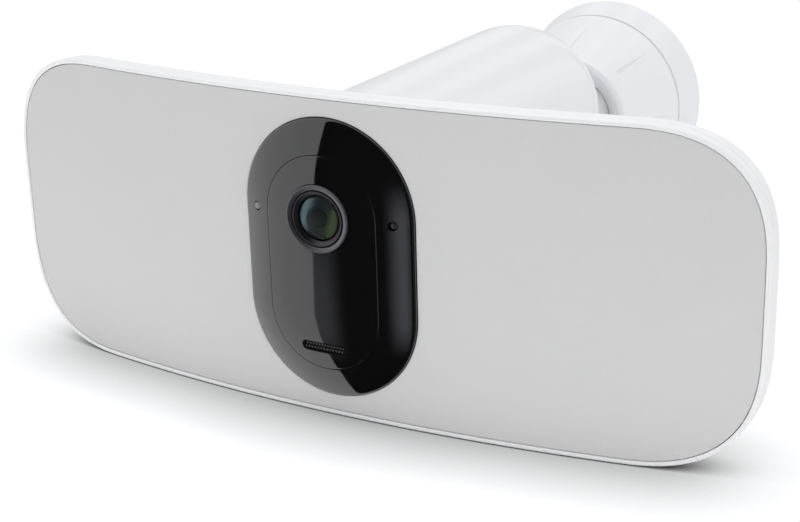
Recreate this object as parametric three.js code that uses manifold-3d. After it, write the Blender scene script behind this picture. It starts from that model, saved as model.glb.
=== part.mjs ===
// Wall-mounted battery floodlight camera: wide curved lamp panel with a
// central camera face, a pill-section rear housing, and a ball mount with a
// twist collar.  Millimetres.  Origin: centre of the wall plate's back face.
// The wall is the plane y = 0, the camera looks along -Y, +Z is up.
import * as THREE from 'three';
import Module from 'manifold-3d';
import { mergeVertices, toCreasedNormals } from 'three/addons/utils/BufferGeometryUtils.js';

const wasm = await Module();
wasm.setup();

// ---------------------------------------------------------------- dimensions
const PANEL_Y = -310.4;        // lens side of the lamp panel, on its centre line
const SAG = 20.66;             // plan sag of the panel at the diffuser's end
const DIFF_A = 183.0;          // diffuser half width
const DIFF_B = 70.1;           // diffuser half height
const CORNER_X = 54.9;         // corner size along X
const CORNER_Z = 55.2;         // corner size along Z
const CORNER_N = 2.6;          // superellipse exponent of the corners
const RIM = 2.15;              // width of the front frame's visible rim
const PANEL_D = 20.0;          // panel depth
const SHELL_SPLIT = 4.6;       // depth of the seam between frame and rear cover
const SHELL_WALL = 2.0;
const SHELL_ROUND = 12.0;      // rounding of the rear cover's back edge

const OVAL_R = 41.37;          // camera face: stadium end radius
const OVAL_HZ = 21.1;          // half length of the stadium's straight sides
const DOME_H = 8.2;            // height of the camera face's dome
const DOME_N = 2.5;
const FACE_PROUD = 0.84;       // camera face edge in front of the diffuser
const SEAM_R = 26.7;           // inner face plate seam

const LENS_Z = 20.9;
const LENS_R = 15.04;
const LENS_Y = -319.9;         // front of the lens ring

const HOUSE_R0 = 44.6;         // housing radius at the panel
const HOUSE_R1 = 43.9;         // and where its end rounding begins
const HOUSE_END = -91.5;
const HOUSE_ROUND = 38.7;
const HOUSE_WALL = 2.4;

const PIVOT_Y = -43.0;         // ball centre
const BALL_R = 21.4;
const NECK_R = 11.0;
const STUD_R = 7.0;

const BASE_R = 54.0;
const SEAM_Y = -22.3;
const COLLAR_R = 49.9;
const RIM_Y = -64.1;           // collar front rim
const RIM_R = 34.8;
const MOUTH_Y = -50.6;
const MOUTH_R = 20.5;
const NOTCHES = 8;
const SEAT_GAP = 0.75;         // ball to socket and liner

const CLR = 0.35;              // clearance between touching pieces

// ------------------------------------------------------------------- helpers
const sag = (x) => SAG * (x / DIFF_A) ** 2;
const sheet = (x) => PANEL_Y + sag(x);

function man(geom) {
  const g = geom.clone();
  g.deleteAttribute('normal');
  g.deleteAttribute('uv');
  const m = mergeVertices(g, 1e-4);
  return new wasm.Manifold(new wasm.Mesh({
    numProp: 3,
    vertProperties: new Float32Array(m.attributes.position.array),
    triVerts: new Uint32Array(m.index.array),
  }));
}
function polyMesh(pos, tri) {
  const g = new THREE.BufferGeometry();
  g.setAttribute('position', new THREE.Float32BufferAttribute(pos, 3));
  g.setIndex(tri);
  let m = man(g);
  if (m.volume() < 0) {
    const f = [];
    for (let i = 0; i < tri.length; i += 3) f.push(tri[i], tri[i + 2], tri[i + 1]);
    g.setIndex(f);
    m = man(g);
  }
  return m;
}
// outline of the lamp panel, grown by o: pairs (x, +-h)
function outline(o, cs = 8, ss = 12) {
  const a = DIFF_A + o, b = DIFF_B + o;
  const rx = Math.max(CORNER_X + o, 6), rz = Math.max(CORNER_Z + o, 6);
  const L = [];
  for (let i = 0; i <= cs; i++) {
    const t = (Math.PI / 2) * (i / cs);
    const u = Math.cos(t) ** (2 / CORNER_N), v = Math.sin(t) ** (2 / CORNER_N);
    L.push([-(a - rx) - rx * u, (b - rz) + rz * v]);
  }
  const out = L.slice();
  for (let i = 1; i < ss; i++) out.push([-(a - rx) + 2 * (a - rx) * (i / ss), b]);
  for (let i = cs; i >= 0; i--) out.push([-L[i][0], L[i][1]]);
  return out;
}
// solid through panel outlines: rings = [[grow, depth], ...]
function panelSolid(rings, cs, ss) {
  const pos = [], tri = [];
  const P = rings.map(([o]) => outline(o, cs, ss));
  const n = P[0].length;
  rings.forEach(([o, d], k) => {
    for (const [x, h] of P[k]) pos.push(x, sheet(x) + d, h, x, sheet(x) + d, -h);
  });
  const id = (k, i, s) => k * 2 * n + 2 * i + s;
  const quad = (a, b, c, d) => tri.push(a, b, c, a, c, d);
  const last = rings.length - 1;
  for (let i = 0; i < n - 1; i++) {
    quad(id(0, i, 0), id(0, i + 1, 0), id(0, i + 1, 1), id(0, i, 1));
    quad(id(last, i, 0), id(last, i, 1), id(last, i + 1, 1), id(last, i + 1, 0));
  }
  for (let k = 0; k < last; k++) {
    for (let i = 0; i < n - 1; i++) {
      quad(id(k, i, 0), id(k + 1, i, 0), id(k + 1, i + 1, 0), id(k, i + 1, 0));
      quad(id(k, i, 1), id(k, i + 1, 1), id(k + 1, i + 1, 1), id(k + 1, i, 1));
    }
    quad(id(k, 0, 1), id(k + 1, 0, 1), id(k + 1, 0, 0), id(k, 0, 0));
    quad(id(k, n - 1, 0), id(k + 1, n - 1, 0), id(k + 1, n - 1, 1), id(k, n - 1, 1));
  }
  return polyMesh(pos, tri);
}
// slab that follows the panel's bend
function bent(x0, x1, z0, z1, d0, d1, n = 8) {
  const s = new THREE.Shape();
  for (let i = 0; i <= n; i++) {
    const x = x0 + (x1 - x0) * (i / n);
    if (i === 0) s.moveTo(x, sheet(x) + d0); else s.lineTo(x, sheet(x) + d0);
  }
  for (let i = n; i >= 0; i--) {
    const x = x0 + (x1 - x0) * (i / n);
    s.lineTo(x, sheet(x) + d1);
  }
  const g = new THREE.ExtrudeGeometry(s, { depth: z1 - z0, bevelEnabled: false, steps: 1 });
  g.translate(0, 0, z0);
  return man(g);
}
function stadiumPts(r, hz, seg) {
  const p = [];
  for (let i = 0; i <= seg; i++) {
    const t = Math.PI * (i / seg);
    p.push([r * Math.cos(t), hz + r * Math.sin(t)]);
  }
  for (let i = 0; i <= seg; i++) {
    const t = Math.PI + Math.PI * (i / seg);
    p.push([r * Math.cos(t), -hz + r * Math.sin(t)]);
  }
  return p;
}
// body of stadium rings: prof = [[r, y(x,r)], ...]; closed = ring-shaped body
function stadium(prof, { hz = OVAL_HZ, seg = 20, closed = false } = {}) {
  const pos = [], tri = [];
  const n = 2 * (seg + 1);
  for (const [r, fy] of prof) {
    for (const [x, z] of stadiumPts(r, hz, seg)) pos.push(x, typeof fy === 'function' ? fy(x, r) : fy, z);
  }
  const K = prof.length;
  const bands = closed ? K : K - 1;
  for (let k = 0; k < bands; k++) {
    const a = k * n, b = ((k + 1) % K) * n;
    for (let i = 0; i < n; i++) {
      const j = (i + 1) % n;
      tri.push(a + i, b + i, b + j, a + i, b + j, a + j);
    }
  }
  if (!closed) {
    for (const k of [0, K - 1]) {
      const a = k * n;
      const flip = k === 0;
      const t = (p, q, r) => (flip ? tri.push(p, q, r) : tri.push(p, r, q));
      // strips between left and right points of equal height
      for (let i = 0; i < seg; i++) {
        const r0 = a + i, r1 = a + i + 1, l0 = a + seg - i, l1 = a + seg - i - 1;
        if (i < seg / 2) { t(r0, r1, l0); if (r1 !== l1) t(r1, l1, l0); }
      }
      const b = a + seg + 1;
      for (let i = 0; i < seg / 2; i++) {
        const l0 = b + i, l1 = b + i + 1, r0 = b + seg - i, r1 = b + seg - i - 1;
        t(l0, l1, r0); if (r1 !== l1) t(l1, r1, r0);
      }
      t(a, a + seg, b); t(a, b, b + seg);
    }
  }
  return polyMesh(pos, tri);
}
// revolved about the Y direction through (x, z)
function turned(pts, { x = 0, z = 0, seg = 24, y = 0 } = {}) {
  const g = new THREE.LatheGeometry(pts.map(([r, h]) => new THREE.Vector2(r, h)), seg);
  g.translate(x, y, z);
  let m = man(g);
  if (m.volume() < 0) {
    g.index.array.reverse();
    m = man(g);
  }
  return m;
}
const rod = (r, y0, y1, x = 0, z = 0, seg = 16) => turned([[0, y0], [r, y0], [r, y1], [0, y1]], { x, z, seg });
const tube = (r0, r1, y0, y1, x = 0, z = 0, seg = 24) =>
  turned([[r0, y0], [r1, y0], [r1, y1], [r0, y1], [r0, y0]], { x, z, seg });
function rodZ(r, z0, z1, x, y, seg = 16) {
  const g = new THREE.CylinderGeometry(r, r, z1 - z0, seg);
  g.rotateX(Math.PI / 2);
  g.translate(x, y, (z0 + z1) / 2);
  return man(g);
}
function rodX(r, x0, x1, y, z, seg = 12) {
  const g = new THREE.CylinderGeometry(r, r, x1 - x0, seg);
  g.rotateZ(Math.PI / 2);
  g.translate((x0 + x1) / 2, y, z);
  return man(g);
}
function box(x0, x1, y0, y1, z0, z1) {
  const g = new THREE.BoxGeometry(x1 - x0, y1 - y0, z1 - z0);
  g.translate((x0 + x1) / 2, (y0 + y1) / 2, (z0 + z1) / 2);
  return man(g);
}
function rbox(x0, x1, y0, y1, z0, z1, r, seg = 2) {   // box with rounded edges along Z
  const s = new THREE.Shape();
  s.moveTo(x0 + r, y0); s.lineTo(x1 - r, y0); s.absarc(x1 - r, y0 + r, r, -Math.PI / 2, 0, false);
  s.lineTo(x1, y1 - r); s.absarc(x1 - r, y1 - r, r, 0, Math.PI / 2, false);
  s.lineTo(x0 + r, y1); s.absarc(x0 + r, y1 - r, r, Math.PI / 2, Math.PI, false);
  s.lineTo(x0, y0 + r); s.absarc(x0 + r, y0 + r, r, Math.PI, 1.5 * Math.PI, false);
  const g = new THREE.ExtrudeGeometry(s, { depth: z1 - z0, bevelEnabled: false, curveSegments: seg });
  g.translate(0, 0, z0);
  return man(g);
}
function slotY(w, h, y0, y1, x, z, seg = 8) {          // horizontal slot through Y
  const r = h / 2, c = w / 2 - r;
  const s = new THREE.Shape();
  s.moveTo(-c, -r); s.lineTo(c, -r); s.absarc(c, 0, r, -Math.PI / 2, Math.PI / 2, false);
  s.lineTo(-c, r); s.absarc(-c, 0, r, Math.PI / 2, 1.5 * Math.PI, false);
  const g = new THREE.ExtrudeGeometry(s, { depth: y1 - y0, bevelEnabled: false, curveSegments: seg });
  g.rotateX(Math.PI / 2);
  g.translate(x, y1, z);
  return man(g);
}

const group = new THREE.Group();
group.name = 'floodlight_camera';
function put(name, m, color, roughness, metalness = 0) {
  const mesh = m.getMesh();
  const g = new THREE.BufferGeometry();
  g.setAttribute('position', new THREE.Float32BufferAttribute(mesh.vertProperties, 3));
  g.setIndex(new THREE.Uint32BufferAttribute(mesh.triVerts, 1));
  const smooth = toCreasedNormals(g.toNonIndexed(), 0.6);
  const o = new THREE.Mesh(smooth, new THREE.MeshStandardMaterial({ color, roughness, metalness }));
  o.name = name;
  group.add(o);
}
const WHITE = 0xf2f3f5, BLACK = 0x0b0b0c, GREY = 0x8d9095, STEEL = 0xb9bcc0, PCB = 0x1d5a36;

// ---------------------------------------------------------------- wall mount
const bump = (p) => p;
const mountBase = turned([
  [0, 0], [BASE_R - 0.4, 0], [BASE_R, -0.6], [53.1, -5], [51.9, -11], [50.9, -17], [50.3, SEAM_Y + 0.5], [49.9, SEAM_Y + 0.9],
  [46.4, SEAM_Y + 0.9], [46.4, -4.5], [31.0, -4.5], [31.0, -30.5], [28.2, -30.5], [28.2, -4.5], [0, -4.5],
], { seg: 40 });
let base = mountBase;
const SCREW_C = 38.5;
const screwAt = [90, 210, 330].map((a) => [SCREW_C * Math.cos(a * Math.PI / 180), SCREW_C * Math.sin(a * Math.PI / 180)]);
for (const [x, z] of screwAt) base = base.subtract(rod(2.6, -6, 1, x, z));
base = base.subtract(tube(41.6, 50.4, -1.3, 1, 0, 0, 36));
put('mount_base', base, WHITE, 0.3);
put('wall_gasket', tube(41.95, 50.0, -0.95, -0.1, 0, 0, 32), 0x2a2b2d, 0.9);
screwAt.forEach(([x, z], i) => {
  let s = turned([[0, -0.1], [1.9, -0.1], [1.9, -4.9], [4.2, -4.9], [4.2, -6.4], [3.4, -7.3], [0, -7.3]], { x, z, seg: 16 });
  s = s.subtract(box(x - 2.6, x + 2.6, -8, -6.1, z - 0.5, z + 0.5)).subtract(box(x - 0.5, x + 0.5, -8, -6.1, z - 2.6, z + 2.6));
  put(`wall_screw_${i + 1}`, s, STEEL, 0.35, 1);
});
{
  const pts = [[0, -4.9], [26.6, -4.9], [27.8, -6.1], [27.8, -33.5]];
  const R = BALL_R + SEAT_GAP;
  for (let i = 0; i <= 6; i++) {
    const y = -33.5 + (1 - (1 - i / 6) ** 2) * (PIVOT_Y + R + 33.5);
    pts.push([i === 6 ? 0 : Math.sqrt(Math.max(R * R - (y - PIVOT_Y) ** 2, 0)), y]);
  }
  put('ball_socket', turned(pts, { seg: 24 }), 0x303236, 0.55);
}

// -------------------------------------------------------------- twist collar
{
  const c = turned([
    [46.2, SEAM_Y - 0.3], [49.3, SEAM_Y - 0.3], [COLLAR_R, SEAM_Y - 0.9], [45.0, -36.3], [40.1, -50.0], [35.9, -61.6], [35.3, -63.2], [34.2, -64.05],
    [33.0, -64.1], [31.6, -63.2], [26.4, -57.4], [21.6, -51.6], [MOUTH_R, MOUTH_Y], [21.4, -49.8], [25.4, -48.4], [29.0, -46.6], [31.6, -44.5], [31.6, -10.0], [33.8, -10.0], [33.8, -31.4], [42.0, -31.4],
    [46.2, -25.5], [46.2, SEAM_Y - 0.3],
  ], { seg: 48 });
  let m = c;
  const N = NOTCHES;
  for (let k = 0; k < N; k++) {
    const a = (k / N) * Math.PI * 2;
    const s = new THREE.Shape();
    s.moveTo(-55.8, 41.5); s.lineTo(-30.5, 50.5); s.lineTo(-30.5, 47.05); s.lineTo(-40, 43.2); s.lineTo(-52.5, 37.9); s.lineTo(-55.8, 38.0);
    const g = new THREE.ExtrudeGeometry(s, { depth: 1.9, bevelEnabled: false });
    g.translate(0, 0, -0.95);
    // shape x -> row y, shape y -> radius, depth -> tangential
    const mt = new THREE.Matrix4().set(
      0, Math.cos(a), -Math.sin(a), 0,
      1, 0, 0, 0,
      0, Math.sin(a), Math.cos(a), 0,
      0, 0, 0, 1);
    g.applyMatrix4(mt);
    let cut;
    if (mt.determinant() < 0) {
      const ng = mergeVertices((() => { const q = g.clone(); q.deleteAttribute('normal'); q.deleteAttribute('uv'); return q; })(), 1e-4);
      const ix = ng.index.array;
      for (let i = 0; i < ix.length; i += 3) { const t = ix[i + 1]; ix[i + 1] = ix[i + 2]; ix[i + 2] = t; }
      cut = man(ng);
    } else cut = man(g);
    m = m.subtract(cut);
  }
  put('clamp_collar', m, WHITE, 0.28);
}
// friction liner: ring round the ball's equator, inside the collar
{
  const R = BALL_R + SEAT_GAP, pts = [];
  for (let i = 0; i <= 5; i++) {
    const y = -48.2 + (i / 5) * 13.6;
    pts.push([Math.sqrt(R * R - (y - PIVOT_Y) ** 2), y]);
  }
  pts.push([27.4, -34.6], [31.2, -36.0], [31.2, -44.0], [28.6, -46.1], [25.2, -47.9], pts[0].slice());
  put('friction_liner', turned(pts, { seg: 24 }), 0x44474b, 0.7);
}
// core ball at the pivot
{
  const g = new THREE.SphereGeometry(6.0, 14, 8);
  g.translate(0, PIVOT_Y, 0);
  put('pivot_core', man(g), STEEL, 0.3, 1);
}

// ----------------------------------------------------------------- ball stud
{
  const pts = [];
  const yn = PIVOT_Y - Math.sqrt(BALL_R ** 2 - NECK_R ** 2);
  const t0 = Math.asin((yn - PIVOT_Y) / BALL_R);
  pts.push([3.2, -103.5], [STUD_R - 0.8, -103.5], [STUD_R, -102.7], [STUD_R, HOUSE_END - 0.2], [STUD_R, HOUSE_END + CLR], [NECK_R + 2.2, HOUSE_END + CLR], [NECK_R + 2.2, HOUSE_END + 1.8], [NECK_R, HOUSE_END + 4.2], [NECK_R, yn]);
  const n = 10;
  for (let i = 1; i <= n; i++) {
    const t = t0 + (Math.PI / 2 - t0) * (i / n);
    pts.push([i === n ? 0 : BALL_R * Math.cos(t), PIVOT_Y + BALL_R * Math.sin(t)]);
  }
  // cavity for the core, opening along the neck
  const rc = 6.5;
  for (let i = 0; i <= 5; i++) {
    const t = Math.PI / 2 - (Math.PI - Math.asin(3.2 / rc)) * (i / 5);
    pts.push([i === 0 ? 0 : rc * Math.cos(t), PIVOT_Y + rc * Math.sin(t)]);
  }
  pts.push([3.2, -103.5]);
  put('ball_stud', turned(pts, { seg: 28 }), 0xe6e7ea, 0.3);
}
{
  const g = new THREE.CylinderGeometry(13, 13, 6.5, 6);
  g.translate(0, -98.2, 0);
  put('stud_nut', man(g).subtract(rod(STUD_R + CLR, -110, -90, 0, 0, 24)), STEEL, 0.35, 1);
}

// --------------------------------------------------------------- rear housing
const LATCH_STROKE = 4.0;
const BAT = { x: 24.0, y0: -232.0, y1: -162.0, z1: 44.0 };
const backCut = panelSolid([[0.5, -60], [0.5, PANEL_D + 0.3]], 3, 16);
function houseRings(off, yEnd) {
  const out = [];
  const r = HOUSE_ROUND - off, yc = HOUSE_END - HOUSE_ROUND;
  const n = 6;
  for (let i = 0; i <= n; i++) {
    const t = (Math.PI / 2) * (i / n);
    out.push([HOUSE_R1 - HOUSE_ROUND + r * Math.cos(t), yc + r * Math.sin(t)]);
  }
  return out;
}
{
  const outer = stadium([[HOUSE_R0, PANEL_Y], [HOUSE_R0 - 0.35, -215], ...houseRings(0)], { seg: 16 });
  const inner = stadium([[HOUSE_R0 - HOUSE_WALL, PANEL_Y - 2], [HOUSE_R0 - 0.35 - HOUSE_WALL, -215], ...houseRings(HOUSE_WALL)], { seg: 16 });
  let h = outer.subtract(inner).subtract(backCut);
  h = h.subtract(rod(STUD_R + CLR, -100, -80, 0, 0, 24));
  // four screw bosses at the panel end
  for (const sx of [-1, 1]) for (const sz of [-1, 1]) {
    const bx = sx * 33.5, bz = sz * 39.0;
    let boss = rod(4.6, -290.0, -276.0, bx, bz).add(box(sx > 0 ? bx : bx - 9, sx > 0 ? bx + 9 : bx, -288.0, -276.0, bz - 1.2, bz + 1.2));
    boss = boss.subtract(backCut).intersect(outer);
    h = h.add(boss);
    h = h.subtract(rod(1.85, -300, -280, bx, bz, 12));
  }
  // battery bay mouth, latch slot, sync button and charge port in the underside
  h = h.subtract(rbox(-BAT.x - CLR, BAT.x + CLR, BAT.y0 - CLR, BAT.y1 + CLR, -80, -40, 6));
  h = h.subtract(rbox(-9.35, 9.35, -156.35, -141.65 + LATCH_STROKE, -80, -40, 3));
  h = h.subtract(rodZ(4.35, -80, -50, 0, -248, 20));
  h = h.subtract(rbox(-8.35, 8.35, -276.35, -263.65, -80, -50, 1.6));
  put('rear_housing', h, WHITE, 0.25);
}
// battery with its own base cap
{
  let b = rbox(-BAT.x + 1, BAT.x - 1, BAT.y0 + 1, BAT.y1 - 1, -56.5, BAT.z1, 6);
  b = b.subtract(box(-8, 8, BAT.y0 - 1, BAT.y0 + 2.2, 30, 50));
  put('battery_pack', b, 0x26282b, 0.5);
  const outer = stadium([[HOUSE_R0, PANEL_Y], [HOUSE_R0 - 0.35, -215], ...houseRings(0)], { seg: 16 });
  let c = rbox(-BAT.x, BAT.x, BAT.y0, BAT.y1, -80, -56.85, 6).intersect(outer);
  c = c.subtract(rbox(-9, 9, BAT.y1 - 3.2, BAT.y1 + 1, -80, -62.4, 0.8, 2));
  put('battery_cap', c, WHITE, 0.28);
}
// rails that guide the battery
{
  let t = box(-28, 28, BAT.y0 - 4.5, BAT.y1 + 4.5, -20, 46.8).subtract(box(-24.4, 24.4, BAT.y0 - 0.6, BAT.y1 + 0.6, -30, 44.6));
  t = t.subtract(box(-18, 18, BAT.y0 - 10, BAT.y1 + 10, -30, 20));
  t = t.subtract(box(-40, 40, BAT.y0 + 12, BAT.y1 - 12, -30, 30));
  t = t.subtract(box(-9, 9, BAT.y0 + 8, BAT.y0 + 22, 40, 50));
  put('battery_tray', t, 0x54575c, 0.6);
}
put('battery_contacts', box(-7, 7, BAT.y0 + 9, BAT.y0 + 21, 44.6, 48.4), 0xc9a24a, 0.3, 1);
// battery latch: sliding button under the tail of the housing
{
  let l = rbox(-9, 9, -156, -142, -64.9, -60.2, 3);
  l = l.add(box(-11, 11, -161.2, -134, -60.9, -59.7));
  for (let i = 0; i < 3; i++) l = l.subtract(box(-6, 6, -153.5 + i * 3.4, -152.3 + i * 3.4, -66, -64.1));
  put('battery_latch', l, 0xdfe1e4, 0.4);
}
// sync button
put('sync_button', turned([[0, 0], [5.6, 0], [5.6, 1.0], [4.0, 1.0], [4.0, 4.2], [3.4, 4.8], [0, 4.8]], { seg: 20 })
  .transform([1, 0, 0, 0, 0, 0, -1, 0, 0, 1, 0, 0, 0, -248, -60.6, 1]), 0xd9dbde, 0.45);

// charge port and its rubber flap
const FLAP_Y = -265.0, FLAP_Z = -64.6;
{
  let s = rbox(-7.6, 7.6, -275.4, -264.6, -62.8, -52, 2).subtract(rbox(-4.6, 4.6, -271.9, -268.1, -70, -54, 1.7));
  put('charge_socket', s, 0x1a1b1d, 0.5);
  let f = rbox(-8, 8, -276, -264.6, -65.6, -63.3, 2.6).add(rbox(-4.1, 4.1, -270.4, -268.8, -64, -61.5, 0.7)).add(rodX(1.0, -6, 6, FLAP_Y, FLAP_Z));
  put('port_flap', f, 0x6d7074, 0.8);
}

// ----------------------------------------------------------------- lamp panel
{
  const o = RIM, S = SHELL_SPLIT;
  const outer = panelSolid([[o - 0.55, -0.45], [o - 0.12, -0.2], [o, 0.3], [o, S - 0.3], [o - 0.2, S]]);
  const open = panelSolid([[0.15, -2], [0.15, 3.3]]);
  const lip = panelSolid([[-4.2, 2.5], [-4.2, 8]]);
  put('bezel_frame', outer.subtract(open).subtract(lip), WHITE, 0.3);
}
const ovalCut = (r, y0, y1) => stadium([[r, y0], [r, y1]], { seg: 20 });
put('diffuser', panelSolid([[-0.15, 0], [-0.15, 1.8]]).subtract(ovalCut(OVAL_R + CLR, -330, -290)), 0xd2d3d5, 0.6);
put('diffuser_seal', panelSolid([[-0.6, 2.15], [-0.6, 2.95]], 8, 10).subtract(panelSolid([[-4.4, 1], [-4.4, 4]], 8, 10)), 0x3a3c3f, 0.9);
{
  const rings = [[RIM - 0.35, SHELL_SPLIT + 0.35], [RIM - 0.12, SHELL_SPLIT + 0.6], [RIM - 0.12, PANEL_D - SHELL_ROUND]];
  const innr = [[RIM - SHELL_WALL, 2], [RIM - SHELL_WALL, PANEL_D - SHELL_ROUND]];
  for (let i = 1; i <= 4; i++) {
    const t = (Math.PI / 2) * (i / 4);
    rings.push([RIM - 0.12 - SHELL_ROUND * (1 - Math.cos(t)), PANEL_D - SHELL_ROUND * (1 - Math.sin(t))]);
    const q = SHELL_ROUND - SHELL_WALL;
    innr.push([RIM - SHELL_WALL - q * (1 - Math.cos(t)), PANEL_D - SHELL_ROUND + q * Math.sin(t)]);
  }
  let s = panelSolid(rings).subtract(panelSolid(innr));
  s = s.subtract(stadium([[34.0, -300], [34.0, -280]], { seg: 12 }));
  for (const sx of [-1, 1]) for (const sz of [-1, 1]) {
    s = s.subtract(rod(1.85, -300, -270, sx * 33.5, sz * 39.0, 12));
  }
  put('rear_cover', s, WHITE, 0.3);
}
[[-1, -1], [1, -1], [-1, 1], [1, 1]].forEach(([sx, sz], i) => {
  const x = sx * 33.5, z = sz * 39.0, yb = PANEL_Y + PANEL_D - SHELL_WALL - 0.1;
  put(`housing_screw_${i + 1}`, turned([[0, yb - 2.2], [2.6, yb - 2.2], [3.1, yb - 1.6], [3.1, yb - 0.05], [1.5, yb - 0.05], [1.5, yb + 9], [0, yb + 10]], { x, z, seg: 14 }), STEEL, 0.35, 1);
});
// white reflector tray behind the diffuser, LEDs shining through its floor
const LED_X = [62, 84, 106, 128, 150], LED_Z = [-38, 0, 38];
{
  let t = panelSolid([[-5.6, 4.2], [-5.6, 10.8]], 5, 10).subtract(panelSolid([[-7.0, 3], [-7.0, 9.6]], 5, 10));
  t = t.subtract(stadium([[43.8, -330], [43.8, -280]], { seg: 12 }));
  const wall = stadium([[43.2, (x) => sheet(x) + 4.2], [44.4, (x) => sheet(x) + 4.2], [44.4, (x) => sheet(x) + 10.4], [43.2, (x) => sheet(x) + 10.4]], { closed: true, seg: 12 });
  t = t.add(wall);
  for (const s of [-1, 1]) for (const x of LED_X) for (const z of LED_Z) t = t.subtract(box(s * x - 2.4, s * x + 2.4, sheet(x) + 8, sheet(x) + 13, z - 2.4, z + 2.4));
  put('reflector_tray', t, 0xf5f5f2, 0.5);
}
for (const [nm, s] of [['left', -1], ['right', 1]]) {
  let b = s < 0 ? bent(-160, -52, -46, 46, 11.2, 12.6) : bent(52, 160, -46, 46, 11.2, 12.6);
  for (const x of LED_X) for (const z of LED_Z) {
    b = b.add(box(s * x - 1.7, s * x + 1.7, sheet(x) + 9.9, sheet(x) + 11.9, z - 1.7, z + 1.7));
  }
  put(`led_board_${nm}`, b, 0xe9e6d8, 0.5);
}
put('heat_spreader_left', bent(-162, -50, -50, 50, 13.0, 14.4, 9), 0xaeb2b6, 0.4, 1);
put('heat_spreader_right', bent(50, 162, -50, 50, 13.0, 14.4, 9), 0xaeb2b6, 0.4, 1);

// ---------------------------------------------------------------- camera face
const dome = (r, off = 0) => (x) => sheet(x) - FACE_PROUD - DOME_H * (1 - Math.min(r / OVAL_R, 1) ** DOME_N) + off;
{
  const R = OVAL_R;
  const prof = [];
  for (const r of [SEAM_R + 0.15, 31, 35, 38.5, 40.4]) prof.push([r, dome(r)]);
  prof.push([41.05, (x) => sheet(x) - FACE_PROUD + 0.05], [R, (x) => sheet(x) - FACE_PROUD + 0.6], [R, (x) => sheet(x) + 7.5], [R - 2, (x) => sheet(x) + 7.5], [R - 2, (x) => sheet(x) + 1.6]);
  for (const r of [35, 31, SEAM_R + 0.15]) prof.push([r, dome(r, 2.2)]);
  let m = stadium(prof, { closed: true, seg: 18 });
  for (const s of [-1, 1]) m = m.subtract(rod(2.15, -330, -300, s * 33.3, LENS_Z, 16));
  put('camera_fascia', m, BLACK, 0.08);
  const p2 = [];
  for (const r of [SEAM_R - 0.15, 21, 14, 2]) p2.push([r, dome(r)]);
  let front = stadium([...p2.reverse(), [SEAM_R - 0.15, dome(SEAM_R, 2.2)], [21, dome(21, 2.2)], [14, dome(14, 2.2)], [2, dome(2, 2.2)]], { seg: 16 });
  front = front.subtract(rod(LENS_R + 0.2, -340, -300, 0, LENS_Z, 32));
  front = front.subtract(rod(0.75, -340, -300, 0, 42.2, 12));
  front = front.subtract(slotY(22.4, 5.0, -340, -300, 0, -37.6));
  put('face_plate', front, BLACK, 0.08);
}
// speaker grille: slot insert with two rows of holes
{
  let g = slotY(21.8, 4.4, -318.4, -316.4, 0, -37.6);
  for (let i = 0; i < 11; i++) for (const dz of [-0.95, 0.95]) g = g.subtract(rod(0.48, -330, -300, (i - 5) * 1.7 + (dz > 0 ? 0.2 : -0.2), -37.6 + dz, 6));
  put('speaker_grille', g, 0x151617, 0.5);
}
put('speaker', turned([[0, -313.7], [9.6, -313.7], [10.4, -312.9], [10.4, -310.2], [8.2, -310.2], [8.2, -306.0], [0, -306.0]], { x: 0, z: -37.4, seg: 24 }), 0x2b2c2e, 0.6);
put('microphone', rod(2.4, -314.8, -312.4, 0, 42.2, 14), STEEL, 0.4, 1);
put('ambient_sensor', turned([[0, -314.0], [1.2, -314.0], [1.75, -313.7], [1.75, -309.6], [0, -309.6]], { x: -33.3, z: LENS_Z, seg: 16 }), 0x9a9da0, 0.4);
put('status_led', turned([[0, -314.0], [1.2, -314.0], [1.75, -313.7], [1.75, -309.6], [0, -309.6]], { x: 33.3, z: LENS_Z, seg: 16 }), 0x30343a, 0.2);
put('motion_sensor', rod(6.5, -316.2, -310.0, 0, -10, 20), 0x4a3b3f, 0.4);

// ------------------------------------------------------------------- lens set
const L = { x: 0, z: LENS_Z };
put('lens_ring', turned([[12.6, LENS_Y + 1.1], [13.5, LENS_Y + 0.3], [14.4, LENS_Y], [14.9, LENS_Y + 0.25], [14.9, LENS_Y + 7], [12.6, LENS_Y + 7], [12.6, LENS_Y + 1.1]], { ...L, seg: 32 }), 0x5b5e63, 0.3, 1);
put('front_glass', turned([[0, -319.88], [3, -319.66], [6, -319.02], [8.2, -318.3], [9.6, -317.65], [9.6, -317.2], [8, -317.5], [5, -318.0], [0, -318.4]], { ...L, seg: 28 }), 0x20262a, 0.03);
put('lens_hood', turned([[12.25, -319.0], [12.25, -312.4], [9.95, -312.4], [9.95, -318.0], [11.5, -319.25], [11.9, -319.3], [12.25, -319.0]], { ...L, seg: 32 }), 0x0a0a0b, 0.5);
put('lens_barrel', turned([[8.9, -316.8], [9.3, -316.8], [9.3, -312.0], [9.6, -311.6], [9.6, -297.5], [6.2, -297.5], [6.2, -309.5], [8.9, -311.2], [8.9, -316.8]], { ...L, seg: 32 }), 0x111214, 0.4);
put('lens_element_1', turned([[0, -317.85], [3, -317.55], [6, -316.85], [8.55, -315.6], [8.55, -314.0], [5.0, -314.6], [0, -315.4]], { ...L, seg: 24 }), 0x1c3a44, 0.03);
put('lens_element_2', turned([[0, -309.0], [5.8, -308.0], [5.8, -305.2], [0, -304.4]], { ...L, seg: 24 }), 0x1d3d33, 0.03);
put('lens_element_3', turned([[0, -303.2], [5.8, -303.8], [5.8, -300.8], [0, -301.6]], { ...L, seg: 24 }), 0x24313d, 0.03);
put('image_sensor', box(-4.2, 4.2, -296.6, -295.5, LENS_Z - 3.4, LENS_Z + 3.4), 0x2b2f45, 0.2);
put('sensor_board', box(-14, 14, -295.1, -293.7, LENS_Z - 13, LENS_Z + 13), PCB, 0.5);
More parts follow.
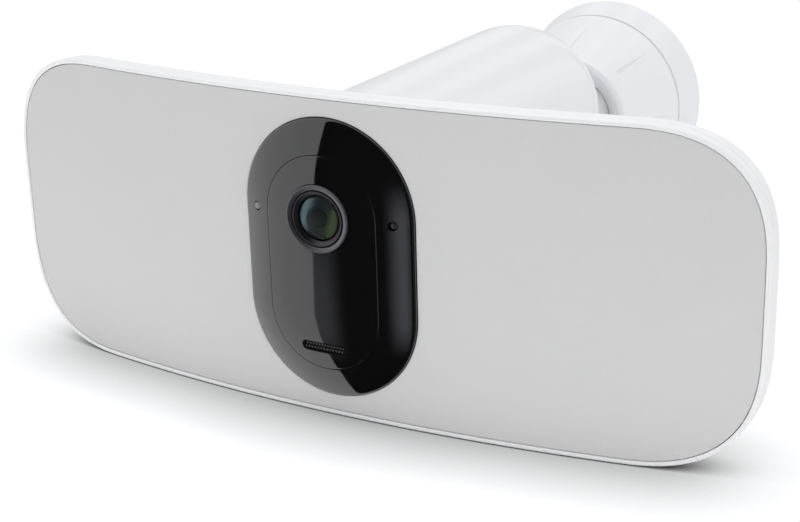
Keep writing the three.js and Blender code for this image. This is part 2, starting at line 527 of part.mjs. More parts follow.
// --------------------------------------------------------------- electronics
put('main_board', box(-28, 28, -284.8, -283.2, -44, 48), PCB, 0.5);
put('shield_can', box(-13, 13, -282.8, -279.0, 2, 32), STEEL, 0.35, 1);
put('antenna_left', box(-29.5, -28.3, -262, -236, 14, 40), 0xc07a3c, 0.4, 1);
put('antenna_right', box(28.3, 29.5, -262, -236, 14, 40), 0xc07a3c, 0.4, 1);

export default group;
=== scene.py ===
import bpy, bmesh, math
import numpy as np
from mathutils import Vector, Matrix


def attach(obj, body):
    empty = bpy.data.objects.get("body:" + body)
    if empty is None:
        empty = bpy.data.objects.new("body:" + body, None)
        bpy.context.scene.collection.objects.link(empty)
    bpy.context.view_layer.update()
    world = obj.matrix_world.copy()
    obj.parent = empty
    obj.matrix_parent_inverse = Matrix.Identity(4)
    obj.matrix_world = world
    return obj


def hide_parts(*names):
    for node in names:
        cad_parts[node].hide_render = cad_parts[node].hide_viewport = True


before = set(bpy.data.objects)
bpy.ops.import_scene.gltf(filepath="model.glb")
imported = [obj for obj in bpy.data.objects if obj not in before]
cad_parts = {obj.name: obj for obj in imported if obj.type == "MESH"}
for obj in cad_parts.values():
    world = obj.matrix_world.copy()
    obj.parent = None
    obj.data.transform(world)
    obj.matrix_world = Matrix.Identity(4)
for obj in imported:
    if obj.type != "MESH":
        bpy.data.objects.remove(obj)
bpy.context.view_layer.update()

MM = 0.001
# ------------------------------------------------------------------ dimensions (mm)
PY, SAG, DA, DB = -310.4, 20.66, 183.0, 70.1
CX, CZ, CN = 54.9, 55.2, 2.6
RIM, PD, SR, SW = 2.15, 20.0, 12.0, 2.0
OR, OH, DH, DN, PROUD, SEAM = 41.37, 21.1, 8.2, 2.5, 0.84, 26.7
LZ = 20.9
HR0, HR1, HEND, HRND = 44.6, 43.9, -91.5, 38.7
PIV, BR, NR = -43.0, 21.4, 11.0
SEAMY = -22.3


def sheet(x):
    return PY + SAG * (np.asarray(x) / DA) ** 2


# ------------------------------------------------------------------ mesh helpers
def new_mesh(name, verts, faces, mat=None, angle=32.0, body="head", node=None):
    me = bpy.data.meshes.new(name)
    me.from_pydata([tuple(float(c) * MM for c in v) for v in verts], [], faces)
    me.validate()
    bm = bmesh.new()
    bm.from_mesh(me)
    bmesh.ops.remove_doubles(bm, verts=bm.verts, dist=2e-7)
    bmesh.ops.recalc_face_normals(bm, faces=bm.faces)
    bm.to_mesh(me)
    bm.free()
    ob = bpy.data.objects.new(name, me)
    bpy.context.scene.collection.objects.link(ob)
    dress(ob, mat, angle)
    if body:
        place(ob, body, node)
    return ob


def dress(ob, mat, angle=32.0):
    me = ob.data
    me.polygons.foreach_set("use_smooth", [True] * len(me.polygons))
    me.set_sharp_from_angle(angle=math.radians(angle))
    if mat is not None:
        me.materials.clear()
        me.materials.append(mat)
        for p in me.polygons:
            p.material_index = 0
    me.update()


def place(ob, body, node=None):
    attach(ob, body)
    if node:
        nodes = [node] if isinstance(node, str) else list(node)
        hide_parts(*nodes)


def loft(loops, closed=False, cap0=None, cap1=None):
    """loops: K arrays of n points. Returns verts, faces."""
    L = [np.asarray(l, float) for l in loops]
    n = len(L[0])
    verts = np.vstack(L).tolist()
    faces = []
    K = len(L)
    for k in range(K if closed else K - 1):
        a, b = k * n, ((k + 1) % K) * n
        for i in range(n):
            j = (i + 1) % n
            faces.append((a + i, a + j, b + j, b + i))
    if not closed:
        for base, cap in ((0, cap0), ((K - 1) * n, cap1)):
            if cap == "strip":          # loop is top left-to-right, then bottom right-to-left
                m = n // 2
                for i in range(m - 1):
                    faces.append((base + i, base + i + 1, base + n - 2 - i, base + n - 1 - i))
            elif cap == "ngon":
                faces.append(tuple(base + i for i in range(n)))
    return verts, faces


def outline(o, nc=22, ns=40):
    """panel outline: top points left to right, then bottom right to left (x, z)"""
    a, b = DA + o, DB + o
    rx, rz = max(CX + o, 6.0), max(CZ + o, 6.0)
    t = np.linspace(0, math.pi / 2, nc + 1)
    lx = -(a - rx) - rx * np.cos(t) ** (2 / CN)
    lz = (b - rz) + rz * np.sin(t) ** (2 / CN)
    mx = np.linspace(-(a - rx), a - rx, ns + 1)[1:-1]
    x = np.concatenate([lx, mx, -lx[::-1]])
    z = np.concatenate([lz, np.full(len(mx), b), lz[::-1]])
    return np.concatenate([x, x[::-1]]), np.concatenate([z, -z[::-1]])


def panel_loop(o, d, nc=22, ns=40):
    x, z = outline(o, nc, ns)
    return np.c_[x, sheet(x) + d, z]


def stad_loop(r, y, hz=OH, seg=40, x0=0.0, z0=0.0):
    t = np.linspace(0, math.pi, seg + 1)
    x = np.concatenate([r * np.cos(t), -r * np.cos(t)]) + x0
    z = np.concatenate([hz + r * np.sin(t), -hz - r * np.sin(t)]) + z0
    yy = y(x, r) if callable(y) else np.full(len(x), float(y))
    return np.c_[x, yy, z]


def lathe(prof, x=0.0, z=0.0, seg=96, closed=False):
    """revolve (r, y) about the Y direction through (x, z)"""
    t = np.linspace(0, 2 * math.pi, seg, endpoint=False)
    verts, faces, rings = [], [], []
    for r, y in prof:
        if r <= 1e-6:
            rings.append([len(verts)])
            verts.append((x, y, z))
        else:
            rings.append(list(range(len(verts), len(verts) + seg)))
            verts += [(x + r * math.cos(a), y, z + r * math.sin(a)) for a in t]
    K = len(rings)
    for k in range(K if closed else K - 1):
        A, B = rings[k], rings[(k + 1) % K]
        if len(A) == 1 and len(B) == 1:
            continue
        for i in range(seg):
            j = (i + 1) % seg
            if len(A) == 1:
                faces.append((A[0], B[j], B[i]))
            elif len(B) == 1:
                faces.append((A[i], A[j], B[0]))
            else:
                faces.append((A[i], A[j], B[j], B[i]))
    return verts, faces


def arc(cx, cy, r, a0, a1, n):
    return [(cx + r * math.cos(math.radians(a0 + (a1 - a0) * i / n)), cy + r * math.sin(math.radians(a0 + (a1 - a0) * i / n))) for i in range(n + 1)]


def cutter(verts, faces):
    return new_mesh("cut", verts, faces, None, body=None)


def cyl_cut(r, y0, y1, x=0.0, z=0.0, seg=48):
    return cutter(*lathe([(0, y0), (r, y0), (r, y1), (0, y1)], x, z, seg))


def prism(points, z0, z1):
    """closed outline in (x, y), extruded along Z"""
    n = len(points)
    v = [(x, y, z0) for x, y in points] + [(x, y, z1) for x, y in points]
    f = [tuple(range(n)), tuple(range(2 * n - 1, n - 1, -1))]
    f += [(i, (i + 1) % n, n + (i + 1) % n, n + i) for i in range(n)]
    return v, f


def round_rect(x0, x1, y0, y1, r, n=8):
    p = []
    for cx, cy, a in ((x1 - r, y0 + r, -90), (x1 - r, y1 - r, 0), (x0 + r, y1 - r, 90), (x0 + r, y0 + r, 180)):
        p += arc(cx, cy, r, a, a + 90, n)
    return p


def join(obs):
    bm = bmesh.new()
    for o in obs:
        bm.from_mesh(o.data)
    me = bpy.data.meshes.new("cutters")
    bm.to_mesh(me)
    bm.free()
    out = bpy.data.objects.new("cutters", me)
    bpy.context.scene.collection.objects.link(out)
    for o in obs:
        bpy.data.objects.remove(o, do_unlink=True)
    return out


def boolean(ob, tools, op="DIFFERENCE"):
    tools = tools if isinstance(tools, list) else [tools]
    for t in tools:
        m = ob.modifiers.new("b", "BOOLEAN")
        m.operation = op
        m.solver = "EXACT"
        m.object = t
        if op != "INTERSECT":
            m.use_self = False
    bake(ob)
    for t in tools:
        bpy.data.objects.remove(t, do_unlink=True)
    return ob


def bake(ob):
    bpy.context.view_layer.update()
    dg = bpy.context.evaluated_depsgraph_get()
    me = bpy.data.meshes.new_from_object(ob.evaluated_get(dg))
    old = ob.data
    ob.modifiers.clear()
    ob.data = me
    if old.users == 0:
        bpy.data.meshes.remove(old)
    return ob


def bevel(ob, width, segments=3, angle=40.0):
    m = ob.modifiers.new("bev", "BEVEL")
    m.width = width * MM
    m.segments = segments
    m.limit_method = "ANGLE"
    m.angle_limit = math.radians(angle)
    m.use_clamp_overlap = True
    m.miter_outer = "MITER_ARC"
    bake(ob)
    return ob


def from_node(node, name, mat, body, width=0.25, segments=2, angle=32.0):
    """a finer copy of a CAD node, with softened edges"""
    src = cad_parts[node]
    me = src.data.copy()
    bm = bmesh.new()
    bm.from_mesh(me)
    bmesh.ops.remove_doubles(bm, verts=bm.verts, dist=1e-6)
    bmesh.ops.dissolve_limit(bm, angle_limit=math.radians(1.0), verts=bm.verts, edges=bm.edges)
    bm.to_mesh(me)
    bm.free()
    ob = bpy.data.objects.new(name, me)
    bpy.context.scene.collection.objects.link(ob)
    ob.matrix_world = src.matrix_world.copy()
    if width:
        bevel(ob, width, segments)
    dress(ob, mat, angle)
    place(ob, body, node)
    return ob


# ------------------------------------------------------------------ materials
def nodes_of(name):
    m = bpy.data.materials.new(name)
    m.use_nodes = True
    nt = m.node_tree
    p = nt.nodes["Principled BSDF"]
    return m, nt, p


def add(nt, kind, **kw):
    n = nt.nodes.new(kind)
    for k, v in kw.items():
        if k in n.inputs.keys():
            n.inputs[k].default_value = v
        else:
            setattr(n, k, v)
    return n


def ramp(nt, fac, stops):
    r = nt.nodes.new("ShaderNodeValToRGB")
    e = r.color_ramp.elements
    while len(e) > 1:
        e.remove(e[-1])
    e[0].position, e[0].color = stops[0][0], (*stops[0][1], 1)
    for pos, c in stops[1:]:
        el = e.new(pos)
        el.color = (*c, 1)
    nt.links.new(fac, r.inputs["Fac"])
    return r


def moulded(name, col, rough, spread=0.03, rough_spread=0.05, grain=900.0, bump=0.02, depth=0.0002, coat=0.0, coat_rough=0.1, metal=0.0, spec=0.5, cloud=14.0, ior=1.5, sheen=0.0):
    """moulded plastic, paint or metal: faint colour clouds, roughness variation and fine surface grain"""
    m, nt, p = nodes_of(name)
    tc = add(nt, "ShaderNodeTexCoord")
    n1 = add(nt, "ShaderNodeTexNoise", Scale=cloud, Detail=4.0, Roughness=0.55)
    nt.links.new(tc.outputs["Object"], n1.inputs["Vector"])
    lo = [max(0.0, c * (1 - spread)) for c in col]
    hi = [min(1.0, c * (1 + spread)) for c in col]
    cr = ramp(nt, n1.outputs["Fac"], [(0.3, lo), (0.7, hi)])
    nt.links.new(cr.outputs["Color"], p.inputs["Base Color"])
    n2 = add(nt, "ShaderNodeTexNoise", Scale=grain, Detail=3.0, Roughness=0.6)
    nt.links.new(tc.outputs["Object"], n2.inputs["Vector"])
    mr = add(nt, "ShaderNodeMapRange")
    mr.inputs["From Min"].default_value = 0.3
    mr.inputs["From Max"].default_value = 0.7
    mr.inputs["To Min"].default_value = max(0.01, rough - rough_spread)
    mr.inputs["To Max"].default_value = min(1.0, rough + rough_spread)
    nt.links.new(n1.outputs["Fac"], mr.inputs["Value"])
    nt.links.new(mr.outputs["Result"], p.inputs["Roughness"])
    if bump:
        b = add(nt, "ShaderNodeBump", Strength=bump, Distance=depth)
        nt.links.new(n2.outputs["Fac"], b.inputs["Height"])
        nt.links.new(b.outputs["Normal"], p.inputs["Normal"])
    p.inputs["Metallic"].default_value = metal
    p.inputs["Specular IOR Level"].default_value = spec
    p.inputs["IOR"].default_value = ior
    p.inputs["Coat Weight"].default_value = coat
    p.inputs["Coat Roughness"].default_value = coat_rough
    return m


def m_diffuser():
    """pale translucent panel: fine woven-looking micro texture"""
    m, nt, p = nodes_of("diffuser_texture")
    tc = add(nt, "ShaderNodeTexCoord")
    mpx = add(nt, "ShaderNodeMapping")
    mpx.inputs["Scale"].default_value = (260.0, 260.0, 2600.0)
    mpz = add(nt, "ShaderNodeMapping")
    mpz.inputs["Scale"].default_value = (2600.0, 260.0, 260.0)
    a = add(nt, "ShaderNodeTexNoise", Scale=1.0, Detail=2.0, Roughness=0.6)
    c = add(nt, "ShaderNodeTexNoise", Scale=1.0, Detail=2.0, Roughness=0.6)
    for mp, n in ((mpx, a), (mpz, c)):
        nt.links.new(tc.outputs["Object"], mp.inputs["Vector"])
        nt.links.new(mp.outputs["Vector"], n.inputs["Vector"])
    s = add(nt, "ShaderNodeMath", operation="ADD")
    nt.links.new(a.outputs["Fac"], s.inputs[0])
    nt.links.new(c.outputs["Fac"], s.inputs[1])
    h = add(nt, "ShaderNodeMath", operation="MULTIPLY")
    h.inputs[1].default_value = 0.5
    nt.links.new(s.outputs[0], h.inputs[0])
    cl = add(nt, "ShaderNodeTexNoise", Scale=9.0, Detail=3.0)
    nt.links.new(tc.outputs["Object"], cl.inputs["Vector"])
    cr = ramp(nt, h.outputs[0], [(0.36, (0.665, 0.664, 0.662)), (0.64, (0.683, 0.682, 0.680))])
    cr2 = ramp(nt, cl.outputs["Fac"], [(0.3, (0.994, 0.994, 0.994)), (0.7, (1.0, 1.0, 1.0))])
    mx = add(nt, "ShaderNodeMix", data_type="RGBA", blend_type="MULTIPLY")
    mx.inputs["Factor"].default_value = 1.0
    nt.links.new(cr.outputs["Color"], mx.inputs["A"])
    nt.links.new(cr2.outputs["Color"], mx.inputs["B"])
    nt.links.new(mx.outputs["Result"], p.inputs["Base Color"])
    b = add(nt, "ShaderNodeBump", Strength=0.2, Distance=0.00004)
    nt.links.new(h.outputs[0], b.inputs["Height"])
    nt.links.new(b.outputs["Normal"], p.inputs["Normal"])
    mr = add(nt, "ShaderNodeMapRange")
    mr.inputs["To Min"].default_value = 0.55
    mr.inputs["To Max"].default_value = 0.75
    nt.links.new(h.outputs[0], mr.inputs["Value"])
    nt.links.new(mr.outputs["Result"], p.inputs["Roughness"])
    p.inputs["Specular IOR Level"].default_value = 0.3
    return m


def m_ring_metal(name, col, rough, center, turns=9000.0):
    """satin turned metal: fine concentric tool marks about the lens axis"""
    m, nt, p = nodes_of(name)
    tc = add(nt, "ShaderNodeTexCoord")
    mp = add(nt, "ShaderNodeMapping")
    mp.inputs["Location"].default_value = (-center[0] * MM, 0, -center[1] * MM)
    nt.links.new(tc.outputs["Object"], mp.inputs["Vector"])
    sx = add(nt, "ShaderNodeSeparateXYZ")
    nt.links.new(mp.outputs["Vector"], sx.inputs["Vector"])
    cb = add(nt, "ShaderNodeCombineXYZ")
    nt.links.new(sx.outputs["X"], cb.inputs["X"])
    nt.links.new(sx.outputs["Z"], cb.inputs["Y"])
    ln = add(nt, "ShaderNodeVectorMath", operation="LENGTH")
    nt.links.new(cb.outputs["Vector"], ln.inputs[0])
    mu = add(nt, "ShaderNodeMath", operation="MULTIPLY")
    mu.inputs[1].default_value = turns
    nt.links.new(ln.outputs["Value"], mu.inputs[0])
    n = add(nt, "ShaderNodeTexNoise", Scale=1.0, Detail=2.0)
    n.noise_dimensions = "1D"
    nt.links.new(mu.outputs[0], n.inputs["W"])
    cr = ramp(nt, n.outputs["Fac"], [(0.3, [c * 0.86 for c in col]), (0.7, [min(1, c * 1.1) for c in col])])
    nt.links.new(cr.outputs["Color"], p.inputs["Base Color"])
    b = add(nt, "ShaderNodeBump", Strength=0.15, Distance=0.00003)
    nt.links.new(n.outputs["Fac"], b.inputs["Height"])
    nt.links.new(b.outputs["Normal"], p.inputs["Normal"])
    mr = add(nt, "ShaderNodeMapRange")
    mr.inputs["To Min"].default_value = rough - 0.06
    mr.inputs["To Max"].default_value = rough + 0.06
    nt.links.new(n.outputs["Fac"], mr.inputs["Value"])
    nt.links.new(mr.outputs["Result"], p.inputs["Roughness"])
    p.inputs["Metallic"].default_value = 1.0
    return m


def m_painted_lens_reflections(name, left, right, dark, rough=0.05, rad=8.55):
    """lens element with painted reflections: pale crescents toward two sides of the rim, dark rings toward the middle
    """
    m, nt, p = nodes_of(name)
    tc = add(nt, "ShaderNodeTexCoord")
    sx = add(nt, "ShaderNodeSeparateXYZ")
    nt.links.new(tc.outputs["Object"], sx.inputs["Vector"])

    def op(kind, a, b=None, c=None):
        n = add(nt, "ShaderNodeMath", operation=kind)
        for i, v in enumerate((a, b, c)):
            if v is None:
                continue
            if isinstance(v, (int, float)):
                n.inputs[i].default_value = v
            else:
                nt.links.new(v, n.inputs[i])
        return n.outputs[0]

    x = op("DIVIDE", sx.outputs["X"], rad * MM)
    z = op("DIVIDE", op("SUBTRACT", sx.outputs["Z"], LZ * MM), rad * MM)
    r = op("SQRT", op("ADD", op("MULTIPLY", x, x), op("MULTIPLY", z, z)))
    noi = add(nt, "ShaderNodeTexNoise", Scale=220.0, Detail=2.0)
    nt.links.new(tc.outputs["Object"], noi.inputs["Vector"])
    x2 = op("ADD", x, op("MULTIPLY_ADD", noi.outputs["Fac"], 0.16, -0.08))
    tilt = op("ADD", x2, op("MULTIPLY", z, -0.28))
    # painted reflection: coloured crescents toward the left and right of the rim, the coating's mirror image of the
    # studio put into the base colour
    reflection_hue = ramp(nt, op("MULTIPLY_ADD", tilt, 0.5, 0.5), [(0.0, [c * 0.5 for c in left]), (0.10, left), (0.27, [c * 0.55 for c in left]), (0.40, dark), (0.62, dark), (0.78, [c * 0.5 for c in right]), (0.90, right), (1.0, [c * 0.6 for c in right])])
    # keeps the painted reflection crescents in the outer band, with darker rings toward the middle and at the very rim
    rings = ramp(nt, r, [(0.0, (0.35, 0.38, 0.38)), (0.22, (0.30, 0.33, 0.33)), (0.25, (0.02, 0.02, 0.02)), (0.30, (0.40, 0.45, 0.45)), (0.36, (0.03, 0.03, 0.03)), (0.46, (0.06, 0.06, 0.06)), (0.50, (0.55, 0.58, 0.60)), (0.56, (1, 1, 1)), (0.94, (1, 1, 1)), (1.0, (0.25, 0.25, 0.25))])
    mx = add(nt, "ShaderNodeMix", data_type="RGBA", blend_type="MULTIPLY")
    mx.inputs["Factor"].default_value = 1.0
    nt.links.new(reflection_hue.outputs["Color"], mx.inputs["A"])
    nt.links.new(rings.outputs["Color"], mx.inputs["B"])
    nt.links.new(mx.outputs["Result"], p.inputs["Base Color"])
    p.inputs["Roughness"].default_value = rough
    p.inputs["Specular IOR Level"].default_value = 0.12
    return m


def m_glass(name, tint=(0.85, 0.93, 0.95), rough=0.0, ior=1.5):
    m, nt, p = nodes_of(name)
    tc = add(nt, "ShaderNodeTexCoord")
    n = add(nt, "ShaderNodeTexNoise", Scale=60.0, Detail=1.0)
    nt.links.new(tc.outputs["Object"], n.inputs["Vector"])
    cr = ramp(nt, n.outputs["Fac"], [(0.3, [c * 0.97 for c in tint]), (0.7, tint)])
    nt.links.new(cr.outputs["Color"], p.inputs["Base Color"])
    p.inputs["Transmission Weight"].default_value = 1.0
    p.inputs["Roughness"].default_value = rough
    p.inputs["IOR"].default_value = ior
    return m


def m_board(name, base, trace):
    """circuit board: solder mask with fine traces and pads"""
    m, nt, p = nodes_of(name)
    tc = add(nt, "ShaderNodeTexCoord")
    v = add(nt, "ShaderNodeTexVoronoi", Scale=330.0)
    v.distance = "MANHATTAN"
    nt.links.new(tc.outputs["Object"], v.inputs["Vector"])
    cr = ramp(nt, v.outputs["Distance"], [(0.18, trace), (0.24, base), (0.8, [c * 0.85 for c in base])])
    nt.links.new(cr.outputs["Color"], p.inputs["Base Color"])
    b = add(nt, "ShaderNodeBump", Strength=0.4, Distance=0.0001)
    nt.links.new(v.outputs["Distance"], b.inputs["Height"])
    nt.links.new(b.outputs["Normal"], p.inputs["Normal"])
    p.inputs["Roughness"].default_value = 0.35
    return m


WHITE = (0.852, 0.862, 0.888)
M_HOUSE = moulded("white_gloss", WHITE, 0.20, spread=0.004, rough_spread=0.006, grain=500, bump=0.02, depth=0.00004, coat=0.4, coat_rough=0.08)
M_FRAME = moulded("white_satin", (0.925, 0.928, 0.935), 0.34, spread=0.004, rough_spread=0.01, grain=1400, bump=0.04, depth=0.00005)
M_MOUNT = moulded("white_mount", WHITE, 0.22, spread=0.004, rough_spread=0.006, grain=500, bump=0.02, depth=0.00004, coat=0.4, coat_rough=0.08)
M_STUD = moulded("white_paint", (0.90, 0.903, 0.91), 0.30, spread=0.006, rough_spread=0.01, grain=700, bump=0.04, depth=0.00005)
M_DIFF = m_diffuser()
M_PIANO = moulded("piano_black", (0.0045, 0.0046, 0.0047), 0.05, spread=0.2, rough_spread=0.01, grain=300, bump=0.003, depth=0.00005, coat=1.0, coat_rough=0.03, spec=0.72)
M_BLACK = moulded("matt_black", (0.012, 0.012, 0.013), 0.5, spread=0.2, grain=1500, bump=0.2)
M_GREYP = m_ring_metal("lens_grey", (0.115, 0.108, 0.125), 0.42, (0, LZ), 5000.0)
M_RING = m_ring_metal("ring_metal", (0.235, 0.232, 0.25), 0.46, (0, LZ))
def m_grille():
    """black moulding with pale woven mesh showing at the bottom of the holes"""
    m, nt, p = nodes_of("grille_black")
    tc = add(nt, "ShaderNodeTexCoord")
    sx = add(nt, "ShaderNodeSeparateXYZ")
    nt.links.new(tc.outputs["Object"], sx.inputs["Vector"])
    mr = add(nt, "ShaderNodeMapRange")
    mr.inputs["From Min"].default_value = -0.31760
    mr.inputs["From Max"].default_value = -0.31735
    nt.links.new(sx.outputs["Y"], mr.inputs["Value"])
    n = add(nt, "ShaderNodeTexNoise", Scale=2600.0, Detail=1.0)
    nt.links.new(tc.outputs["Object"], n.inputs["Vector"])
    mesh = ramp(nt, n.outputs["Fac"], [(0.3, (0.12, 0.12, 0.125)), (0.7, (0.24, 0.24, 0.245))])
    skin = ramp(nt, n.outputs["Fac"], [(0.3, (0.004, 0.004, 0.004)), (0.7, (0.007, 0.007, 0.007))])
    mx = add(nt, "ShaderNodeMix", data_type="RGBA")
    nt.links.new(mr.outputs["Result"], mx.inputs["Factor"])
    nt.links.new(skin.outputs["Color"], mx.inputs["A"])
    nt.links.new(mesh.outputs["Color"], mx.inputs["B"])
    nt.links.new(mx.outputs["Result"], p.inputs["Base Color"])
    p.inputs["Roughness"].default_value = 0.6
    p.inputs["Specular IOR Level"].default_value = 0.15
    return m


M_GRILLE = m_grille()
M_STEEL = moulded("steel", (0.56, 0.565, 0.575), 0.28, spread=0.08, rough_spread=0.08, grain=2200, bump=0.1, metal=1.0)
M_ALU = moulded("aluminium_sheet", (0.66, 0.67, 0.68), 0.36, spread=0.06, rough_spread=0.08, grain=1800, bump=0.12, metal=1.0)
M_GOLD = moulded("contact_gold", (0.75, 0.56, 0.22), 0.25, spread=0.08, grain=1800, bump=0.1, metal=1.0)
M_COPPER = moulded("copper_foil", (0.62, 0.33, 0.18), 0.32, spread=0.1, grain=1500, bump=0.15, metal=1.0)
M_DARKP = moulded("dark_plastic", (0.03, 0.032, 0.035), 0.48, spread=0.12, grain=1700, bump=0.25)
M_GREYM = moulded("grey_plastic", (0.16, 0.165, 0.175), 0.5, spread=0.08, grain=1500, bump=0.2)
M_LIGHTP = moulded("light_plastic", (0.62, 0.625, 0.64), 0.38, spread=0.02, grain=1300, bump=0.12)
M_RUBBER = moulded("rubber", (0.045, 0.046, 0.048), 0.78, spread=0.15, grain=1100, bump=0.35)
M_RUBBERG = moulded("rubber_grey", (0.22, 0.225, 0.23), 0.72, spread=0.08, grain=1100, bump=0.3)
M_TRAY = moulded("reflector_white", (0.84, 0.84, 0.83), 0.45, spread=0.02, grain=900, bump=0.08)
M_PCB = m_board("solder_mask", (0.012, 0.10, 0.04), (0.05, 0.20, 0.08))
M_LEDB = m_board("led_mask", (0.72, 0.71, 0.66), (0.80, 0.62, 0.18))
M_SENS = moulded("sensor_die", (0.02, 0.03, 0.07), 0.12, spread=0.3, grain=2500, bump=0.1, coat=0.6)
def m_dome_glass():
    """front element: clear glass in the middle; toward two sides of the rim a glossy layer whose base colour holds
    painted reflections, pale blue-grey and green crescents
    """
    m, nt, p = nodes_of("lens_glass")
    out = nt.nodes["Material Output"]
    p.inputs["Transmission Weight"].default_value = 1.0
    p.inputs["Roughness"].default_value = 0.0
    p.inputs["IOR"].default_value = 1.14
    tc = add(nt, "ShaderNodeTexCoord")
    sx = add(nt, "ShaderNodeSeparateXYZ")
    nt.links.new(tc.outputs["Object"], sx.inputs["Vector"])

    def op(kind, a, b=None, c=None):
        n = add(nt, "ShaderNodeMath", operation=kind)
        for i, v in enumerate((a, b, c)):
            if v is None:
                continue
            if isinstance(v, (int, float)):
                n.inputs[i].default_value = v
            else:
                nt.links.new(v, n.inputs[i])
        return n.outputs[0]

    x = op("DIVIDE", sx.outputs["X"], 9.6 * MM)
    z = op("DIVIDE", op("SUBTRACT", sx.outputs["Z"], LZ * MM), 9.6 * MM)
    r = op("SQRT", op("ADD", op("MULTIPLY", x, x), op("MULTIPLY", z, z)))
    noi = add(nt, "ShaderNodeTexNoise", Scale=180.0, Detail=2.0)
    nt.links.new(tc.outputs["Object"], noi.inputs["Vector"])
    tilt = op("ADD", op("ADD", x, op("MULTIPLY_ADD", noi.outputs["Fac"], 0.14, -0.07)), op("MULTIPLY", z, -0.30))
    t01 = op("MULTIPLY_ADD", tilt, 0.5, 0.5)
    # painted reflection: blue-grey crescent toward the left of the rim, green toward the right
    reflection_hue = ramp(nt, t01, [(0.0, (0.05, 0.08, 0.10)), (0.12, (0.12, 0.20, 0.23)), (0.30, (0.05, 0.08, 0.09)), (0.5, (0.01, 0.012, 0.012)), (0.72, (0.02, 0.04, 0.015)), (0.90, (0.075, 0.105, 0.058)), (1.0, (0.04, 0.055, 0.035))])
    reflection_side_mask = ramp(nt, t01, [(0.0, (1, 1, 1)), (0.22, (0.8, 0.8, 0.8)), (0.38, (0.06, 0.06, 0.06)), (0.68, (0.05, 0.05, 0.05)), (0.82, (0.75, 0.75, 0.75)), (1.0, (1, 1, 1))])
    rim = ramp(nt, r, [(0.0, (0, 0, 0)), (0.50, (0.02, 0.02, 0.02)), (0.60, (0.75, 0.75, 0.75)), (0.93, (0.8, 0.8, 0.8)), (0.97, (1, 1, 1))])
    # darker at the very rim
    edge = ramp(nt, r, [(0.0, (1, 1, 1)), (0.93, (1, 1, 1)), (0.965, (0.15, 0.15, 0.16))])
    tint = add(nt, "ShaderNodeMix", data_type="RGBA", blend_type="MULTIPLY")
    tint.inputs["Factor"].default_value = 1.0
    nt.links.new(reflection_hue.outputs["Color"], tint.inputs["A"])
    nt.links.new(edge.outputs["Color"], tint.inputs["B"])
    q = nt.nodes.new("ShaderNodeBsdfPrincipled")
    nt.links.new(tint.outputs["Result"], q.inputs["Base Color"])
    q.inputs["Roughness"].default_value = 0.08
    q.inputs["Specular IOR Level"].default_value = 0.2
    body = ramp(nt, noi.outputs["Fac"], [(0.3, (0.88, 0.92, 0.94)), (0.7, (0.93, 0.96, 0.98))])
    nt.links.new(body.outputs["Color"], p.inputs["Base Color"])
    # the glossy layer with the painted reflections shows only toward the two sides of the rim
    mx = nt.nodes.new("ShaderNodeMixShader")
    nt.links.new(op("MULTIPLY", reflection_side_mask.outputs["Color"], rim.outputs["Color"]), mx.inputs["Fac"])
    nt.links.new(p.outputs["BSDF"], mx.inputs[1])
    nt.links.new(q.outputs["BSDF"], mx.inputs[2])
    nt.links.new(mx.outputs["Shader"], out.inputs["Surface"])
    return m


M_GLASS = m_dome_glass()
M_WIN = moulded("sensor_window", (0.24, 0.245, 0.25), 0.4, spread=0.06, grain=1500, bump=0.1, coat=0.5)
M_LED = moulded("smoked_window", (0.02, 0.021, 0.024), 0.08, spread=0.2, grain=900, bump=0.05, coat=1.0)
M_PIR = moulded("ir_window", (0.03, 0.012, 0.015), 0.2, spread=0.2, grain=900, bump=0.05)

# ------------------------------------------------------------------ lamp panel
NCC, NSS = 26, 48


def panel(profile, closed=False, cap0=None, cap1=None):
    return loft([panel_loop(o, d, NCC, NSS) for o, d in profile], closed, cap0, cap1)


bez = [(0.15, 3.2), (0.15, 0.05), (0.19, -0.13), (0.31, -0.29), (0.5, -0.39), (0.75, -0.44), (1.1, -0.45), (1.45, -0.40), (1.74, -0.27), (1.95, -0.05), (2.08, 0.22), (2.14, 0.55), (2.15, 0.9),
       (2.15, 3.95), (2.12, 4.25), (2.0, 4.48), (1.8, 4.58), (1.5, 4.6), (-3.9, 4.6), (-4.1, 4.55), (-4.2, 4.4), (-4.2, 3.45), (-4.1, 3.32), (-3.9, 3.3), (0.0, 3.3)]
new_mesh("bezel", *panel(bez, closed=True), M_FRAME, node="bezel_frame")

dif = new_mesh("diffuser_panel", *panel([(-0.55, 0.0), (-0.35, 0.03), (-0.22, 0.12), (-0.16, 0.26), (-0.15, 0.45), (-0.15, 1.55), (-0.3, 1.8)], cap0="strip", cap1="strip"), M_DIFF, body=None)
boolean(dif, cutter(*loft([stad_loop(OR + 0.35, -335.0), stad_loop(OR + 0.35, -290.0)], cap0="ngon", cap1="ngon")))
dress(dif, M_DIFF)
place(dif, "head", "diffuser")

n = 12
outer = [(1.5, 4.95), (1.8, 4.96), (1.95, 5.05), (2.01, 5.2), (2.03, 5.45), (2.03, PD - SR)]
outer += [(2.03 - SR * (1 - math.cos(t)), PD - SR * (1 - math.sin(t))) for t in np.linspace(0, math.pi / 2, n + 1)[1:]]
innr = [(RIM - SW, 2.0), (RIM - SW, PD - SR)]
q = SR - SW
innr += [(RIM - SW - q * (1 - math.cos(t)), PD - SR + q * math.sin(t)) for t in np.linspace(0, math.pi / 2, 7)[1:]]
cov = new_mesh("rear_shell", *panel(outer, cap0="strip", cap1="strip"), M_FRAME, body=None)
cuts = [cutter(*panel(innr, cap0="strip", cap1="strip")), cutter(*loft([stad_loop(34.0, -300.0), stad_loop(34.0, -265.0)], cap0="ngon", cap1="ngon"))]
cuts.append(join([cyl_cut(1.85, -300, -270, sx * 33.5, sz * 39.0, 24) for sx in (-1, 1) for sz in (-1, 1)]))
